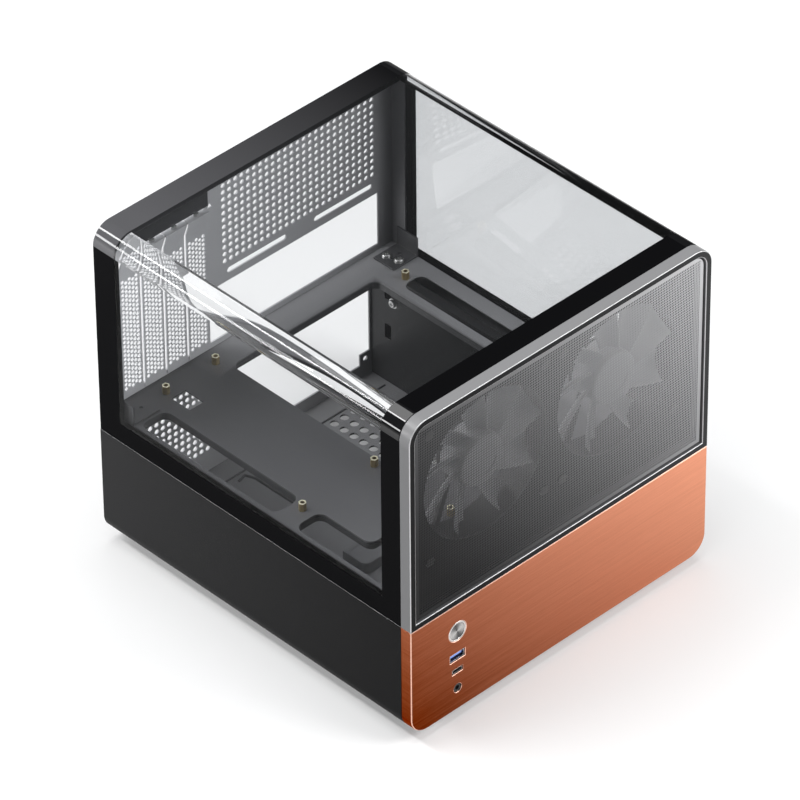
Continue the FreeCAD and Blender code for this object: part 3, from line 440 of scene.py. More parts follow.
def printedGlass():
    # Clear glass with a black printed border at the front, at the rear and along the foot of both sides
    f = Finish("printedGlass")
    x, y, z = f.along("X"), f.along("Y"), f.along("Z")
    side = (x > glassLook["sideStart"]) | (x < -glassLook["sideStart"])
    border = (y < glassLook["frontBand"]) | (y > glassLook["rearBand"]) | (side & (z < glassLook["lowBand"]))
    straight = f.node("ShaderNodeBsdfTransparent", inputs={"Color": opaque(glassLook["tint"])})
    bent = f.node("ShaderNodeBsdfRefraction", inputs={"Color": opaque(glassLook["tint"]), "Roughness": 0.0,
                                                      "IOR": glassLook["bendIndex"]})
    nearSide = side | ((x > glassLook["bendInner"]) | (x < -glassLook["bendInner"]))
    atBend = (z > glassLook["bendStart"]) & nearSide
    clear = f.mixShader(atBend, straight, bent)
    mirror = f.node("ShaderNodeBsdfGlossy", inputs={"Color": (1, 1, 1, 1), "Roughness": 0.015})
    # The left side mirrors less than real glass, and the rear of the roof's print carries a painted sheen,
    # paler to the left
    outerLeft = (x < -glassLook["sideStart"]) & (z < glassLook["bendStart"])
    shine = (0.04 + 0.96 * f.facing() ** 5.0) * (1.0 - 0.85 * outerLeft)
    smear = f.noise(22, 2.0)
    rearTop = (y > glassLook["rearBand"]) & (z > glassLook["bendStart"])
    pale = rearTop * f.ramp(x, glassLook["sheenFrom"], glassLook["paleTo"])
    inkColour = f.mixColour(pale, opaque(glassLook["printColour"]), opaque(glassLook["printSheen"]))
    matt = f.shader(Base_Color=inkColour, Roughness=0.5 + smear * 0.1, Specular_IOR_Level=0.0)
    polish = f.node("ShaderNodeBsdfGlossy", inputs={"Color": (1, 1, 1, 1), "Roughness": 0.03})
    ink = f.mixShader(0.004 + 0.05 * atBend, matt, polish)
    return f.done(f.mixShader(border, f.mixShader(shine, clear, mirror), ink))


spunLook = {
    "centreX": -96.4 * mm,
    "centreZ": 75.1 * mm,
    "ringScale": 26000.0,    # radians a metre, so a ring lies every quarter of a millimetre
    "dark": (0.04, 0.04, 0.042),
    "bright": (0.62, 0.62, 0.61),
}


def spunFace():
    # Turned face: fine rings round the middle, with sectors painted bright as painted highlights where a
    # turned face catches the light
    f = Finish("spunFace")
    x, z = f.along("X") - spunLook["centreX"], f.along("Z") - spunLook["centreZ"]
    away = f.node("ShaderNodeMath", {"operation": "SQRT"}, {0: x * x + z * z})
    rings = f.node("ShaderNodeMath", {"operation": "SINE"}, {0: away * spunLook["ringScale"]}) * 0.5 + 0.5
    turn = f.node("ShaderNodeMath", {"operation": "ARCTAN2"}, {0: z, 1: x})
    highlightSectors = f.node("ShaderNodeMath", {"operation": "SINE"}, {0: turn * 2.0 + 0.9}) * 0.5 + 0.5
    share = highlightSectors * 0.8 + rings * 0.2
    tone = f.mixColour(share, opaque(spunLook["dark"]), opaque(spunLook["bright"]))
    return f.done(f.shader(Base_Color=tone, Metallic=1.0, Roughness=0.24 + rings * 0.1,
                           Normal=f.bump(rings, 0.2, fineDepth)))


def makeFinishes():
    return {
        "glass": printedGlass(),
        "glassEdge": litGlassRim(),
        # shell: painted shade towards the front and painted light towards the rear
        "shell": shadedSteel("texturedBlack", (0.0035, 0.0035, 0.0038), (0.022, 0.022, 0.0228), -0.14, 0.14,
                            0.5, gloss=0.06, axis="Y", scale=1300, bump=0.7),
        "inner": paintedSteel("darkSteel", (0.055, 0.055, 0.058), 0.36),
        "mesh": darkMesh(),
        # rear: painted light, pale at the left and dark at the right of the inner faces
        "rear": shadedSteel("rearSteel", (0.85, 0.85, 0.87), (0.13, 0.13, 0.135), -0.13, 0.13, 0.34),
        # frame: painted light, the top of the frame paler than its sides
        "frame": shadedSteel("satinFrame", (0.12, 0.12, 0.124), (0.24, 0.24, 0.245), 0.25, 0.2665, 0.35,
                            axis="Z"),
        # frameEdge: painted highlight, bright metal on the eased edges of the frame
        "frameEdge": brushedMetal("frameEdge", (0.5, 0.5, 0.51), (0.66, 0.66, 0.67), (400, 400, 6000), 0.4,
                                  depth=0.04),
        # brassTopHighlight: painted highlight on the upward faces of the standoffs
        "brassTopHighlight": brushedMetal("brassTopHighlight", (1.0, 0.92, 0.66), (1.0, 0.97, 0.8), (900, 900, 900), 0.6),
        # liner: painted light on the inside faces, fading to painted shade towards the rear
        "liner": shadedSteel("litInsideSteel", (0.5, 0.5, 0.52), (0.18, 0.18, 0.185), -0.13, 0.14, 0.4, axis="Y"),
        "copper": brushedCopper(),
        # copperEdgeHighlight: painted highlight, paler copper on the eased edges
        "copperEdgeHighlight": brushedMetal("copperEdgeHighlight", (0.78, 0.42, 0.3), (0.95, 0.62, 0.5), (60, 60, 3000), 0.3),
        "rim": frontShade(),
        # blueTipHighlight: painted highlight on the front face of the blue tongue
        "blueTipHighlight": mouldedPlastic("blueTipHighlight", (0.22, 0.34, 0.85), 0.3),
        "tray": traySteel(),
        # plate: painted shade, darker towards the front
        "plate": shadedSteel("plateSteel", (0.022, 0.022, 0.023), (0.012, 0.012, 0.0125), 0.1, -0.1, 0.4,
                            gloss=0.2, axis="Y"),
        "spun": spunFace(),
        "ring": brushedMetal("polishedRing", (0.62, 0.6, 0.59), (0.8, 0.78, 0.76), (900, 900, 900), 0.18),
        "zinc": brushedMetal("zinc", (0.5, 0.5, 0.5), (0.68, 0.68, 0.67), (900, 900, 900), 0.3),
        "brass": brushedMetal("brass", (0.42, 0.32, 0.15), (0.6, 0.48, 0.26), (900, 900, 900), 0.5),
        "black": mouldedPlastic("blackPlastic", (0.012, 0.012, 0.012), 0.45),
        "blade": mouldedPlastic("bladePlastic", (0.34, 0.34, 0.35), 0.4),
        "blue": mouldedPlastic("bluePlastic", (0.008, 0.014, 0.12), 0.35),
        "rubber": mouldedPlastic("rubber", (0.01, 0.01, 0.01), 0.7, grain=500),
        "board": mouldedPlastic("boardGreen", (0.01, 0.05, 0.025), 0.35, grain=300),
    }


def dressNodes(finishes):
    looks = {
        "inner": ["hood_rail_left", "hood_rail_right"],
        "zinc": ["usb_c_shell"],
        "black": ["audio_jack", "usb_c_tongue", "power_switch"],
        "board": ["socket_board"],
    }
    for look, names in looks.items():
        for name in names:
            nodes[name].data.materials.clear()
            nodes[name].data.materials.append(finishes[look])
    print("nodes dressed")


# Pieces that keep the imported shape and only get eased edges

eased = {
    # node: finish, slot, width of the edge in mm
    "chassis_front": ("inner", "inner_steel", 0.25),
    "motherboard_tray": ("tray", "inner_steel", 0.25),
    "side_rail_left": ("inner", "inner_steel", 0.2),
    "side_rail_right": ("inner", "inner_steel", 0.2),
    "psu_side_plate": ("plate", "inner_steel", 0.2),
    "slot_retainer": ("inner", "inner_steel", 0.2),
    "front_frame": ("frame", "frame", 0.5),
    "front_lower_panel": ("copper", "copper_panel", 0.45),
    "power_ring": ("ring", "spun_metal", 0.35),
    "power_button": ("spun", "spun_metal", 0.25),
    "usb_a_shell": ("zinc", "zinc", 0.06),
    "usb_a_tongue": ("blue", "blue_plastic", 0.1),
    "standoffs": ("brass", "brass", 0.25),
    "fan_frame_left": ("black", "black_plastic", 0.4),
    "fan_frame_right": ("black", "black_plastic", 0.4),
    "feet": ("rubber", "rubber", 0.8),
    "slot_screws": ("zinc", "zinc", 0.3),
    "fan_screws": ("black", "black_plastic", 0.35),
    "corner_bracket_left": ("inner", "inner_steel", 0.2),
    "corner_bracket_right": ("inner", "inner_steel", 0.2),
}


paintedLightFaces = {
    # node: finishes of the further coats, which paint shade onto front faces and highlights onto edges, tips
    # and tops, and which way their faces look
    "front_frame": [("rim", facingFront(0.97)), ("frameEdge", facingFront(0.25, 0.97))],
    "front_lower_panel": [("copperEdgeHighlight", facingFront(0.25, 0.97))],
    "chassis_front": [("rim", facingFront(0.9))],
    "usb_a_tongue": [("blueTipHighlight", facingFront(0.9))],
    "standoffs": [("brassTopHighlight", lambda normal: normal.z > 0.2)],
}


def easeNodes(finishes):
    for node, (finish, slot, width) in eased.items():
        words = node.split("_")
        name = words[0] + "".join(word.capitalize() for word in words[1:])
        body = "button" if node == "power_button" else "case"
        piece = dress(softened(node, name, width * mm), body, finishes[finish], slot, node)
        for coat, wanted in paintedLightFaces.get(node, []):
            coatFaces(piece, finishes[coat], wanted)
    print("nodes eased:", len(eased))


# Glass hood

glassHood = {
    "radius": 15 * mm,
    "wall": 4 * mm,
    "bevel": 0.45 * mm,
    "overcut": 5 * mm,
}


def buildGlassHood(finishes):
    low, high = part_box("glass_hood")
    wall, past = glassHood["wall"], glassHood["overcut"]
    atTop = alongYAbove(high.z - 6 * mm)
    hood = addBlock("glassHood", low, high)
    bevelEdges(hood, atTop, glassHood["radius"], 20)
    room = addBlock("room", low + Vector((wall, -past, -past)), high + Vector((-wall, past, -wall)))
    bevelEdges(room, atTop, glassHood["radius"] - wall, 20)
    combine(hood, room)
    easeEdges(hood, glassHood["bevel"], clamp=False)
    smoothed(hood, 30)
    dress(hood, "hood", finishes["glass"], "glass", "glass_hood")
    hood.data.materials.append(finishes["glassEdge"])
    # The rear and lower rims take the painted highlight of the ground edge
    rim = glassHood["bevel"] * 1.1
    for face in hood.data.polygons:
        middle = face.center
        atRim = middle.y > high.y - rim or middle.z < low.z + rim
        face.material_index = 1 if atRim else 0
    print("glass hood built")


# Fan rotors

rotor = {
    "centres": {"left": -61 * mm, "right": 61 * mm},
    "hub": 19.95 * mm,
    "hubDepth": 20 * mm,
    "hubRound": 2.2 * mm,
    "dish": 0.62,    # radius of the dished front as a share of the hub's
    "dishDepth": 0.4 * mm,
    "axleRadius": 1.5 * mm,
    "axleLength": 3.6 * mm,
    "axleDepth": 21.8 * mm,
    "tip": 55.8 * mm,
    "root": 17 * mm,
    "reach": 59 * mm,
    "chord": 13 * mm,
    "growth": 0.9,
    "lean": 20 * mm,
    "pitch": 33,
    "camber": 2.2 * mm,
    "wall": 1.3 * mm,
    "edge": 0.45 * mm,
    "bladeDepth": 1.6 * mm,
    "blades": 9,
    "height": 192 * mm,
    "start": -137.9 * mm,
}


def bladePoint(radius, share):
    # A point of the blade's middle surface; share runs from -1 to 1 along the chord
    out = (radius - rotor["root"]) / (rotor["reach"] - rotor["root"])
    scale = 1 + rotor["growth"] * out
    slant = math.radians(rotor["pitch"])
    along = rotor["chord"] / 2 * share * scale
    bulge = rotor["camber"] * (1 - share * share) * scale
    y = along * math.sin(slant) + bulge * math.cos(slant)
    z = rotor["lean"] * out ** 1.3 + along * math.cos(slant) - bulge * math.sin(slant)
    flat = Vector((radius, 0, z)).normalized() * radius
    return Vector((flat.x, y, flat.z))


def buildRotor(finishes, side, centre):
    middle = Vector((centre, rotor["start"], rotor["height"]))
    hub = addRod("fanRotor" + side.capitalize(), middle + Vector((0, rotor["hubDepth"] / 2, 0)), rotor["hub"],
                 rotor["hubDepth"], 48)
    bevelEdges(hub, lambda point, run: point.y < middle.y + 0.1 * mm, rotor["hubRound"], 4)
    combine(hub, addRod("dish", middle, rotor["hub"] * rotor["dish"], 2 * rotor["dishDepth"], 48))
    axle = addRod("axle", middle + Vector((0, rotor["axleDepth"], 0)), rotor["axleRadius"],
                  rotor["axleLength"])
    deselectAll()
    bpy.ops.mesh.primitive_grid_add(x_subdivisions=9, y_subdivisions=7, size=2)
    blade = bpy.context.object
    # The grid runs from just inside the hub to the tip
    inside = rotor["hub"] - mm
    forward = Vector((0, rotor["hubDepth"] / 2 - rotor["bladeDepth"], 0))
    for vertex in blade.data.vertices:
        radius = inside + (rotor["tip"] - inside) * (vertex.co.x + 1) / 2
        vertex.co = bladePoint(radius, vertex.co.y) + forward
    finishModifier(blade, "SOLIDIFY", thickness=rotor["wall"], offset=0)
    easeEdges(blade, rotor["edge"])
    blades = [blade]
    for number in range(1, rotor["blades"]):
        copy = bpy.data.objects.new("blade", blade.data.copy())
        bpy.context.scene.collection.objects.link(copy)
        copy.rotation_euler.y = 2 * math.pi * number / rotor["blades"]
        blades.append(copy)
    for copy in blades:
        copy.location = middle
        makeActive(copy)
        bpy.ops.object.transform_apply(location=True, rotation=True, scale=True)
    joinPieces(hub, axle, *blades)
    smoothed(hub, 40)
    dress(hub, "fan_" + side, finishes["blade"], "grey_plastic", "fan_rotor_" + side)


# Grille

grille = {
    "pitchAcross": 1.5 * mm,
    "pitchUp": 2.11 * mm,
    "bar": 0.7 * mm,
    "border": 2.2 * mm,
    "cornerRadius": 8.6 * mm,
    "fold": 0.8 * mm,
}


def buildGrille(finishes):
    low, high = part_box("front_mesh")
    border, pitchX, pitchZ = grille["border"], grille["pitchAcross"], grille["pitchUp"]
    columns = int((high.x - low.x - 2 * border) / pitchX)
    rows = int((high.z - low.z - 2 * border) / pitchZ)
    wide, tall = columns * pitchX, rows * pitchZ
    left = (low.x + high.x - wide) / 2
    foot = (low.z + high.z - tall) / 2
    # One cell: a rectangle with a hole, repeated across and up
    deselectAll()
    bpy.ops.mesh.primitive_plane_add(size=1, location=(left + pitchX / 2, low.y, foot + pitchZ / 2),
                                     rotation=(math.pi / 2, 0, 0))
    bpy.context.object.scale = (pitchX, pitchZ, 1)
    sheet = applyPlace(bpy.context.object, "grille")
    bpy.ops.object.mode_set(mode="EDIT")
    bpy.ops.mesh.select_all(action="SELECT")
    bpy.ops.mesh.inset(thickness=grille["bar"] / 2, use_even_offset=True)
    bpy.ops.mesh.delete(type="FACE")
    bpy.ops.object.mode_set(mode="OBJECT")
    repeatAlong(sheet, (pitchX, 0, 0), columns)
    repeatAlong(sheet, (0, 0, pitchZ), rows)
    # Plain rim with folded edges round the field of holes
    rim = addBlock("grilleRim", low, high)
    bevelEdges(rim, alongYAbove(high.z - mm), grille["cornerRadius"], 8)
    fold = grille["fold"]
    hollow = addBlock("hollow", low + Vector((fold, fold, fold)), high + Vector((-fold, 5 * mm, -fold)))
    bevelEdges(hollow, alongYAbove(high.z - 2 * mm), grille["cornerRadius"] - fold, 8)
    combine(rim, hollow)
    opening = addBlock("opening", (left, low.y - mm, foot), (left + wide, low.y + 2 * mm, foot + tall))
    combine(rim, opening)
    joinPieces(sheet, rim)
    dress(sheet, "case", finishes["mesh"], "mesh", "front_mesh")
    print("grille built:", columns, "by", rows)


# Rear sheet

rearSheet = {
    "flange": 14 * mm,
    "wall": 1.2 * mm,
    "upperHalf": 134.7 * mm,
    "upperRadius": 10.7 * mm,
    "lowerRadius": 13.2 * mm,
    "seam": 98 * mm,
    # cut-outs in mm, as left, foot, right, top: board aperture, slot window and supply aperture
    "windows": [(-38.75, 117.59, 120, 162.04), (-118.82, 117.6, -41.44, 237.9), (-36.5, 20, 110.5, 103)],
    "longSlots": [(-21.6, 168, 33.4, 172.6), (59.6, 168, 114.6, 172.6)],
    "slotRadius": 2.2 * mm,
    "rimWide": 1.6 * mm,
    "rimDepth": 1.1 * mm,
    "rimRadius": 3.7 * mm,
    "slit": (-79.4, 239.4, -77.2, 246.2),
    "pointedHole": (-36.2 * mm, 232.6 * mm),
    "pointedRadius": 2.8 * mm,
    # middles in mm of the ears that the supply is screwed to
    "ears": [(-32, 24.5), (106, 24.5), (-32, 88.5), (82, 98.5)],
    "earHalf": 5,
    "earHole": 2 * mm,
    # the ledge on which the tabs of the slot covers lie
    "ledge": ((-119.8, 144.96, 230.84), (-40.45, 148.9, 232.04)),
    "ventStart": (-23.6 * mm, 179.7 * mm),
    "ventPitch": 5.77 * mm,
    "ventColumns": 25,
    "ventRows": 12,
    "ventRadius": 1.95 * mm,
    "exhaustStart": (-102 * mm, 29 * mm),
    "exhaustColumns": 11,
    "exhaustRows": 12,
}


def holeField(name, start, pitch, columns, rows, radius, y):
    field = addRod(name, (start[0], y, start[1]), radius, 8 * mm, 14)
    repeatAlong(field, (pitch, 0, 0), columns)
    return repeatAlong(field, (0, 0, pitch), rows)


def throughBlock(name, rectangle, y):
    # Block through a sheet at y; the rectangle is left, foot, right and top in mm
    left, foot, right, top = (value * mm for value in rectangle)
    return addBlock(name, (left, y - 3 * mm, foot), (right, y + 3 * mm, top))


def longSlot(rectangle, y):
    cutter = throughBlock("slot", rectangle, y)
    bevelEdges(cutter, alongY, rearSheet["slotRadius"], 5)
    return cutter


def buildRearSheet(finishes):
    low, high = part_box("rear_panel")
    seam, wall, upperHalf = rearSheet["seam"], rearSheet["wall"], rearSheet["upperHalf"]
    sheet = addBlock("rearSheet", (-upperHalf, high.y - rearSheet["flange"], seam),
                     (upperHalf, high.y, high.z))
    atTop = alongYAbove(high.z - 3 * mm)
    bevelEdges(sheet, atTop, rearSheet["upperRadius"], 8)
    hollow = addBlock("hollow", (-upperHalf + wall, high.y - 20 * mm, seam - mm),
                      (upperHalf - wall, high.y - wall, high.z - wall))
    bevelEdges(hollow, atTop, rearSheet["upperRadius"] - wall, 8)
    combine(sheet, hollow)
    lower = addBlock("lower", (low.x, high.y - wall, low.z), (high.x, high.y, seam))
    bevelEdges(lower, alongYBelow(low.z + mm), rearSheet["lowerRadius"], 8)
    combine(sheet, lower, "UNION")
    y = high.y - wall / 2
    for rectangle in rearSheet["windows"]:
        combine(sheet, throughBlock("cutter", rectangle, y))
    for rectangle in rearSheet["longSlots"]:
        combine(sheet, longSlot(rectangle, y))
    half = rearSheet["earHalf"]
    for x, z in rearSheet["ears"]:
        ear = addBlock("ear", ((x - half) * mm, high.y - wall, (z - half) * mm),
                       ((x + half) * mm, high.y, (z + half) * mm))
        combine(sheet, ear, "UNION")
    for x, z in rearSheet["ears"]:
        combine(sheet, addRod("hole", (x * mm, y, z * mm), rearSheet["earHole"], 8 * mm))
    for kind in ("vent", "exhaust"):
        combine(sheet, holeField(kind, rearSheet[kind + "Start"], rearSheet["ventPitch"],
                                 rearSheet[kind + "Columns"], rearSheet[kind + "Rows"],
                                 rearSheet["ventRadius"], y))
    # Raised rims round the long slots, on the inner face
    inner, wide = high.y - wall, rearSheet["rimWide"]
    for rectangle in rearSheet["longSlots"]:
        left, foot, right, top = (value * mm for value in rectangle)
        rim = addBlock("rim", (left - wide, inner - rearSheet["rimDepth"], foot - wide),
                       (right + wide, inner + 0.3 * mm, top + wide))
        bevelEdges(rim, alongY, rearSheet["rimRadius"])
        combine(rim, longSlot(rectangle, inner))
        joinPieces(sheet, rim)
    combine(sheet, throughBlock("slit", rearSheet["slit"], y))
    x, z = rearSheet["pointedHole"]
    combine(sheet, addRod("pointed", (x, y, z), rearSheet["pointedRadius"], 8 * mm, 3))
    first, last = (Vector(corner) * mm for corner in rearSheet["ledge"])
    combine(sheet, addBlock("ledge", first, last), "UNION")
    smoothed(sheet)
    # The inner faces carry painted light, pale at the left and dark at the right; the faces turned to the
    # rear keep the plain coat
    dress(sheet, "case", finishes["rear"], "inner_steel", "rear_panel")
    coatFaces(sheet, finishes["inner"], facingRear)
    print("rear sheet built")


# Slot covers

slotCovers = {
    "pitch": 20.32 * mm,
    "wall": 0.86 * mm,
    "holeRadius": 1.6 * mm,
    "columnStep": 3.12 * mm,
    "rowStep": 3.6 * mm,
    "rows": 26,
    "lowHole": 122 * mm,
    "rear": 147.8 * mm,
    "bend": 221.2 * mm,
    "jog": 3.7 * mm,
    "count": 4,
}


def buildSlotCovers(finishes):
    low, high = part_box("slot_cover_1")
    rear, wall = slotCovers["rear"], slotCovers["wall"]
    cover = addBlock("slotCover1", (low.x, rear - wall, low.z), (high.x, rear, slotCovers["bend"]))
    # The top edge is pulled up and inwards for the jog, then back over the ledge for the tab
    makeActive(cover)
    bpy.ops.object.mode_set(mode="EDIT")
    bpy.ops.mesh.select_mode(type="FACE")
    bpy.ops.mesh.select_all(action="DESELECT")
    bpy.ops.object.mode_set(mode="OBJECT")
    for face in cover.data.polygons:
        face.select = face.normal.z > 0.9
    bpy.ops.object.mode_set(mode="EDIT")
    bpy.ops.mesh.extrude_region_move(TRANSFORM_OT_translate={
        "value": (0, -slotCovers["jog"], high.z - wall - slotCovers["bend"])})
    bpy.ops.mesh.extrude_region_move(TRANSFORM_OT_translate={"value": (0, 0, wall)})
    bpy.ops.object.mode_set(mode="OBJECT")
    tab = addBlock("tab", (low.x, rear - slotCovers["jog"] - wall / 2, high.z - wall),
                   (high.x, high.y, high.z))
    combine(cover, tab, "UNION")
    middle = (low.x + high.x) / 2
    hole = slotCovers["holeRadius"]
    across, up = slotCovers["columnStep"], slotCovers["rowStep"]
    # Two fields of holes, the second half a row higher and between the columns of the first
    for start, columns, lift in ((-2, 3, 0), (-1, 2, 0.5)):
        place = (middle + start * across, rear, slotCovers["lowHole"] + lift * up)
        field = addRod("field", place, hole, 5 * mm, 6)
        repeatAlong(field, (2 * across, 0, 0), columns)
        repeatAlong(field, (0, 0, up), slotCovers["rows"] - (lift > 0))
        combine(cover, field)
    smoothed(cover, 25)
    covers = [cover]
    for number in range(1, slotCovers["count"]):
        makeActive(cover)
        bpy.ops.object.duplicate(linked=False)
        bpy.ops.transform.translate(value=(-slotCovers["pitch"] * number, 0, 0))
        covers.append(applyPlace(bpy.context.object, "slotCover%d" % (number + 1)))
    # The inner faces carry the painted light of the rear sheet; the faces turned to the rear keep the plain
    # coat
    for number, piece in enumerate(covers, start=1):
        dress(piece, "case", finishes["rear"], "inner_steel", "slot_cover_%d" % number)
        coatFaces(piece, finishes["inner"], facingRear)
    print("slot covers built")


# Lower shell

lowerShell = {
    "radius": 15 * mm,
    "wall": 1.5 * mm,
    "overcut": 5 * mm,
    "intakeStart": (-15 * mm, 26.5 * mm),
    "intakePitch": 9.75 * mm,
    "intakeColumns": 10,
    "intakeRows": 11,
    "intakeRadius": 3.35 * mm,
}


def buildLowerShell(finishes):
    low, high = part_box("lower_shell")
    wall, past = lowerShell["wall"], lowerShell["overcut"]
    atFoot = alongYBelow(low.z + 2 * mm)
    shell = addBlock("lowerShell", low, high)
    bevelEdges(shell, atFoot, lowerShell["radius"], 10)
    room = addBlock("room", low + Vector((wall, -past, wall)), high + Vector((-wall, past, past)))
    bevelEdges(room, atFoot, lowerShell["radius"] - wall, 10)
    combine(shell, room)
    start = lowerShell["intakeStart"]
    field = addRod("intake", (start[0], start[1], low.z), lowerShell["intakeRadius"], 8 * mm, turn=(0, 0, 0))
    repeatAlong(field, (lowerShell["intakePitch"], 0, 0), lowerShell["intakeColumns"])
    repeatAlong(field, (0, lowerShell["intakePitch"], 0), lowerShell["intakeRows"])
    combine(shell, field)
    smoothed(shell)
    dress(shell, "case", finishes["shell"], "black_steel", "lower_shell")
    # The faces turned to the inside carry a paler coat of painted light, fading to painted shade towards the
    # rear
    shell.data.materials.append(finishes["liner"])
    middle = (low + high) / 2
    for face in shell.data.polygons:
        inwards = face.center - middle
        inwards.y = 0
        face.material_index = 1 if face.normal.dot(inwards) < -0.5 * inwards.length else 0
    print("lower shell built")


# Small parts inside: a low box, a bent rib and a strip on the floor, rims under the openings of the tray,
# and the screws of a bracket and of the upright plate

fittings = {
    "floor": 9.5 * mm,
    "tray": 113.3 * mm,
    # corners in mm, heights above the floor
    "box": ((-46, -10, -0.3), (-14, 12.5, 9)),
    "boxRadius": 6 * mm,
    "lidInset": 3 * mm,
    "lidRadius": 4 * mm,
    "boxEdge": 0.5 * mm,
    "rib": [(-37.5, 124), (-30.5, 126), (-27.4, 118), (-27.4, 76)],
    "ribRadius": 1 * mm,
    "ribLift": 0.3 * mm,
    "strip": ((-46, 129.4, -0.2), (108, 130.6, 0.9)),
    "stripEdge": 0.3 * mm,
    "bracketScrews": [(116.9, 136.8), (119.2, 126.8)],
    "bracketWall": 1.2 * mm,
    "plateScrew": (108.6, 121.6, 86),
    "trayWall": 1.3 * mm,
    "rimDepth": 5 * mm,
    "rimWall": 1.2 * mm,
    "rimRadius": 6 * mm,
    # openings of the tray in mm, as left, front, right, rear; the second of a pair widens the first
    "openings": [
        [(-41.5, -50, 94.5, 124.5)],
        [(-129.8, -12, -106.6, 120)],
        [(-129.8, -122, -106.6, -31), (-129.8, -122, -84, -79)],
    ],
}


def openingBlock(name, rectangles, grow, radius, low, high):
    whole = None
    for left, front, right, rear in rectangles:
        part = addBlock(name, (left * mm - grow, front * mm - grow, low),
                        (right * mm + grow, rear * mm + grow, high))
        whole = combine(whole, part, "UNION") if whole else part
    makeActive(whole)
    bpy.ops.object.mode_set(mode="EDIT")
    bpy.ops.mesh.select_all(action="SELECT")
    bpy.ops.mesh.dissolve_limited(angle_limit=math.radians(1))
    bevelEdges(whole, alongZ, radius)
    return whole


def buildTrayRims(finishes):
    top, wall = fittings["tray"] - fittings["trayWall"], fittings["rimWall"]
    radius = fittings["rimRadius"]
    rims = []
    for rectangles in fittings["openings"]:
        rim = openingBlock("trayRims", rectangles, wall, radius + wall, top - fittings["rimDepth"], top)
        room = openingBlock("room", rectangles, 0, radius, top - 9 * mm, top + mm)
        combine(rim, room)
        rims.append(rim)
    joinPieces(*rims)
    smoothed(rims[0])
    dress(rims[0], "case", finishes["inner"], "inner_steel")
    print("tray rims built")


screw = {
    "headRadius": 3.1 * mm,
    "headTall": 2.2 * mm,
    "headRound": 1.1 * mm,
    # both bars of the cross, in mm
    "cross": [(3.6, 0.8), (0.8, 3.6)],
    "crossFloor": 1.2,
    "washerRadius": 3.9 * mm,
    "washerTall": 0.5 * mm,
}


def addScrew(name, place, turn):
    # Pan head with a cross recess and a washer; the head points along the rod's own axis
    tall = screw["headTall"]
    head = addRod(name, (0, 0, tall / 2), screw["headRadius"], tall, 24, (0, 0, 0))
    bevelEdges(head, lambda middle, run: middle.z > tall - 0.1 * mm and abs(run.z) < 0.5,
               screw["headRound"], 4)
    for wide, deep in screw["cross"]:
        low = Vector((-wide / 2, -deep / 2, screw["crossFloor"])) * mm
        combine(head, addBlock("recess", low, Vector((wide / 2, deep / 2, 4)) * mm))
    washer = screw["washerTall"]
    joinPieces(head, addRod("washer", (0, 0, washer / 2), screw["washerRadius"], washer, 24, (0, 0, 0)))
    makeActive(head)
    head.location = place
    head.rotation_euler = turn
    bpy.ops.object.transform_apply(location=True, rotation=True, scale=True)
    return smoothed(head)


def buildFloorBox(finishes):
    first, last = (Vector(corner) * mm + Vector((0, 0, fittings["floor"])) for corner in fittings["box"])
    box = addBlock("floorBox", first, last)
    corner = first + Vector((mm, mm, 0))
    bevelEdges(box, lambda middle, run: alongZ(middle, run) and middle.x < corner.x and middle.y < corner.y,
               fittings["boxRadius"], 8)
    inset = fittings["lidInset"]
    lid = addBlock("lid", (first.x + inset, first.y + inset, last.z - mm),
                   (last.x - inset, last.y - inset, last.z + mm))
    bevelEdges(lid, alongZ, fittings["lidRadius"])
    combine(box, lid)
    smoothed(easeEdges(box, fittings["boxEdge"]))
    # The box takes the inside coat of painted light, darker towards the rear
    dress(box, "case", finishes["liner"], "inner_steel")


def buildFloorRib(finishes):
    radius = fittings["ribRadius"]
    rib = None
    for (x1, y1), (x2, y2) in zip(fittings["rib"], fittings["rib"][1:]):
        run = Vector((x2 - x1, y2 - y1, 0)) * mm
        middle = Vector(((x1 + x2) / 2 * mm, (y1 + y2) / 2 * mm, fittings["floor"] + fittings["ribLift"]))
        part = addRod("rib", middle, radius, run.length + radius, 12,
                      (math.pi / 2, 0, math.atan2(run.y, run.x) + math.pi / 2))
        rib = combine(rib, part, "UNION") if rib else part
    smoothed(rib)
    rib.name = "floorRib"
    dress(rib, "case", finishes["inner"], "inner_steel")


def buildFittings(finishes):
    buildFloorBox(finishes)
    buildFloorRib(finishes)
    first, last = (Vector(corner) * mm + Vector((0, 0, fittings["floor"])) for corner in fittings["strip"])
    strip = addBlock("floorStrip", first, last)
    smoothed(easeEdges(strip, fittings["stripEdge"]))
    dress(strip, "case", finishes["inner"], "inner_steel")
    screwFoot = fittings["tray"] + fittings["bracketWall"]
    screws = [addScrew("bracketScrews", (x * mm, y * mm, screwFoot), (0, 0, 0))
              for x, y in fittings["bracketScrews"]]
    joinPieces(*screws)
    dress(screws[0], "case", finishes["zinc"], "zinc")
    place = [value * mm for value in fittings["plateScrew"]]
    plateScrew = addScrew("plateScrew", place, (0, -math.pi / 2, 0))
    dress(plateScrew, "case", finishes["zinc"], "zinc")
    print("fittings built")


# Studio

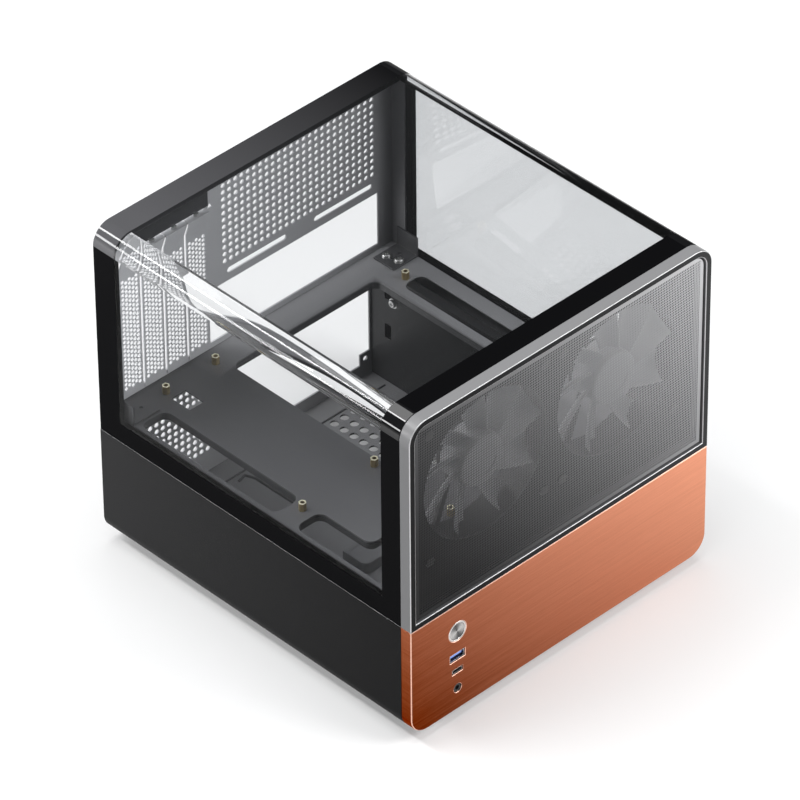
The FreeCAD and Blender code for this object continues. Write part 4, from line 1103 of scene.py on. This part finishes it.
studio = {
    "aim": (-2.72 * mm, 0, 131.67 * mm),
    "azimuth": -43.87,
    "elevation": 38.51,
    "roll": -0.51,
    "distance": 4.761,
    "lens": 319.9,
    "paper": [(0.7, 0.7, 0.7), (0.72, 0.72, 0.72)],
    "floorGlow": 0.22,
    "skyColour": (0.93, 0.96, 1.0),
    "skyStrength": 0.14,
    "lamps": [
        # name, place, aim, size along the lamp's bar, size across, power, direction of the bar
        ("topSoftbox", (-0.2, 0.2, 2.6), (0, 0, 0.15), 2.2, 1.8, 40, (1, 0, 0)),
        ("frontTop", (0.8, -1.6, 1.7), (0.1, 0, 0.15), 1.0, 0.8, 24, (1, 0, 0)),
        ("upperStrip", (-0.73, 0.87, 1.34), (-0.13, 0, 0.26), 1.7, 0.16, 14, (0, 1, 0)),
        ("lowerStrip", (-1.34, 0.85, 0.5), (-0.13, 0, 0.26), 1.7, 0.2, 13, (0, 1, 0)),
        ("rightGlow", (0.75, -0.75, 0.35), (0.14, -0.15, 0.15), 0.5, 0.6, 4, (1, 0, 0)),
    ],
}


def buildStudio():
    deselectAll()
    bpy.ops.mesh.primitive_plane_add(size=40, location=(0, 0, -0.2 * mm))
    floor = bpy.context.object
    floor.name = "floor"
    f = Finish("floorPaper")
    tone = f.noise(0.8, 1.0)
    first, second = (opaque(shade) for shade in studio["paper"])
    paper = f.shader(Base_Color=f.mixColour(tone, first, second), Roughness=0.9,
                     Emission_Color=(1, 1, 1, 1), Emission_Strength=studio["floorGlow"])
    floor.data.materials.append(f.done(paper))
    world = bpy.data.worlds.new("studioSky")
    bpy.context.scene.world = world
    world.use_nodes = True
    sky = world.node_tree.nodes["Background"]
    sky.inputs["Color"].default_value = opaque(studio["skyColour"])
    sky.inputs["Strength"].default_value = studio["skyStrength"]
    for name, place, aim, long, across, power, bar in studio["lamps"]:
        deselectAll()
        bpy.ops.object.light_add(type="AREA", location=place)
        lamp = bpy.context.object
        lamp.name = name
        lamp.data.shape = "RECTANGLE"
        lamp.data.size, lamp.data.size_y = long, across
        lamp.data.energy = power
        back = (Vector(place) - Vector(aim)).normalized()
        side = (Vector(bar) - back * back.dot(Vector(bar))).normalized()
        turned = Matrix((side, back.cross(side), back)).transposed().to_4x4()
        lamp.matrix_world = Matrix.Translation(place) @ turned
    print("studio lit")


def buildCamera():
    azimuth, elevation, roll = (math.radians(studio[name]) for name in ("azimuth", "elevation", "roll"))
    back = Vector((math.sin(azimuth) * math.cos(elevation), -math.cos(azimuth) * math.cos(elevation),
                   math.sin(elevation)))
    right = Vector((math.cos(azimuth), math.sin(azimuth), 0))
    up = back.cross(right)
    turnedRight = right * math.cos(roll) + up * math.sin(roll)
    turnedUp = up * math.cos(roll) - right * math.sin(roll)
    deselectAll()
    bpy.ops.object.camera_add()
    camera = bpy.context.object
    camera.data.lens = studio["lens"]
    camera.data.sensor_width = 36
    camera.data.clip_end = 100
    place = Vector(studio["aim"]) + back * studio["distance"]
    turned = Matrix((turnedRight, turnedUp, back)).transposed().to_4x4()
    camera.matrix_world = Matrix.Translation(place) @ turned
    bpy.context.scene.camera = camera


finishes = makeFinishes()
dressNodes(finishes)
easeNodes(finishes)
buildGlassHood(finishes)
for side, centre in rotor["centres"].items():
    buildRotor(finishes, side, centre)
print("rotors built")
buildGrille(finishes)
buildRearSheet(finishes)
buildSlotCovers(finishes)
buildLowerShell(finishes)
buildTrayRims(finishes)
buildFittings(finishes)
buildStudio()
buildCamera()
bpy.context.scene.view_settings.view_transform = "Standard"
deselectAll()
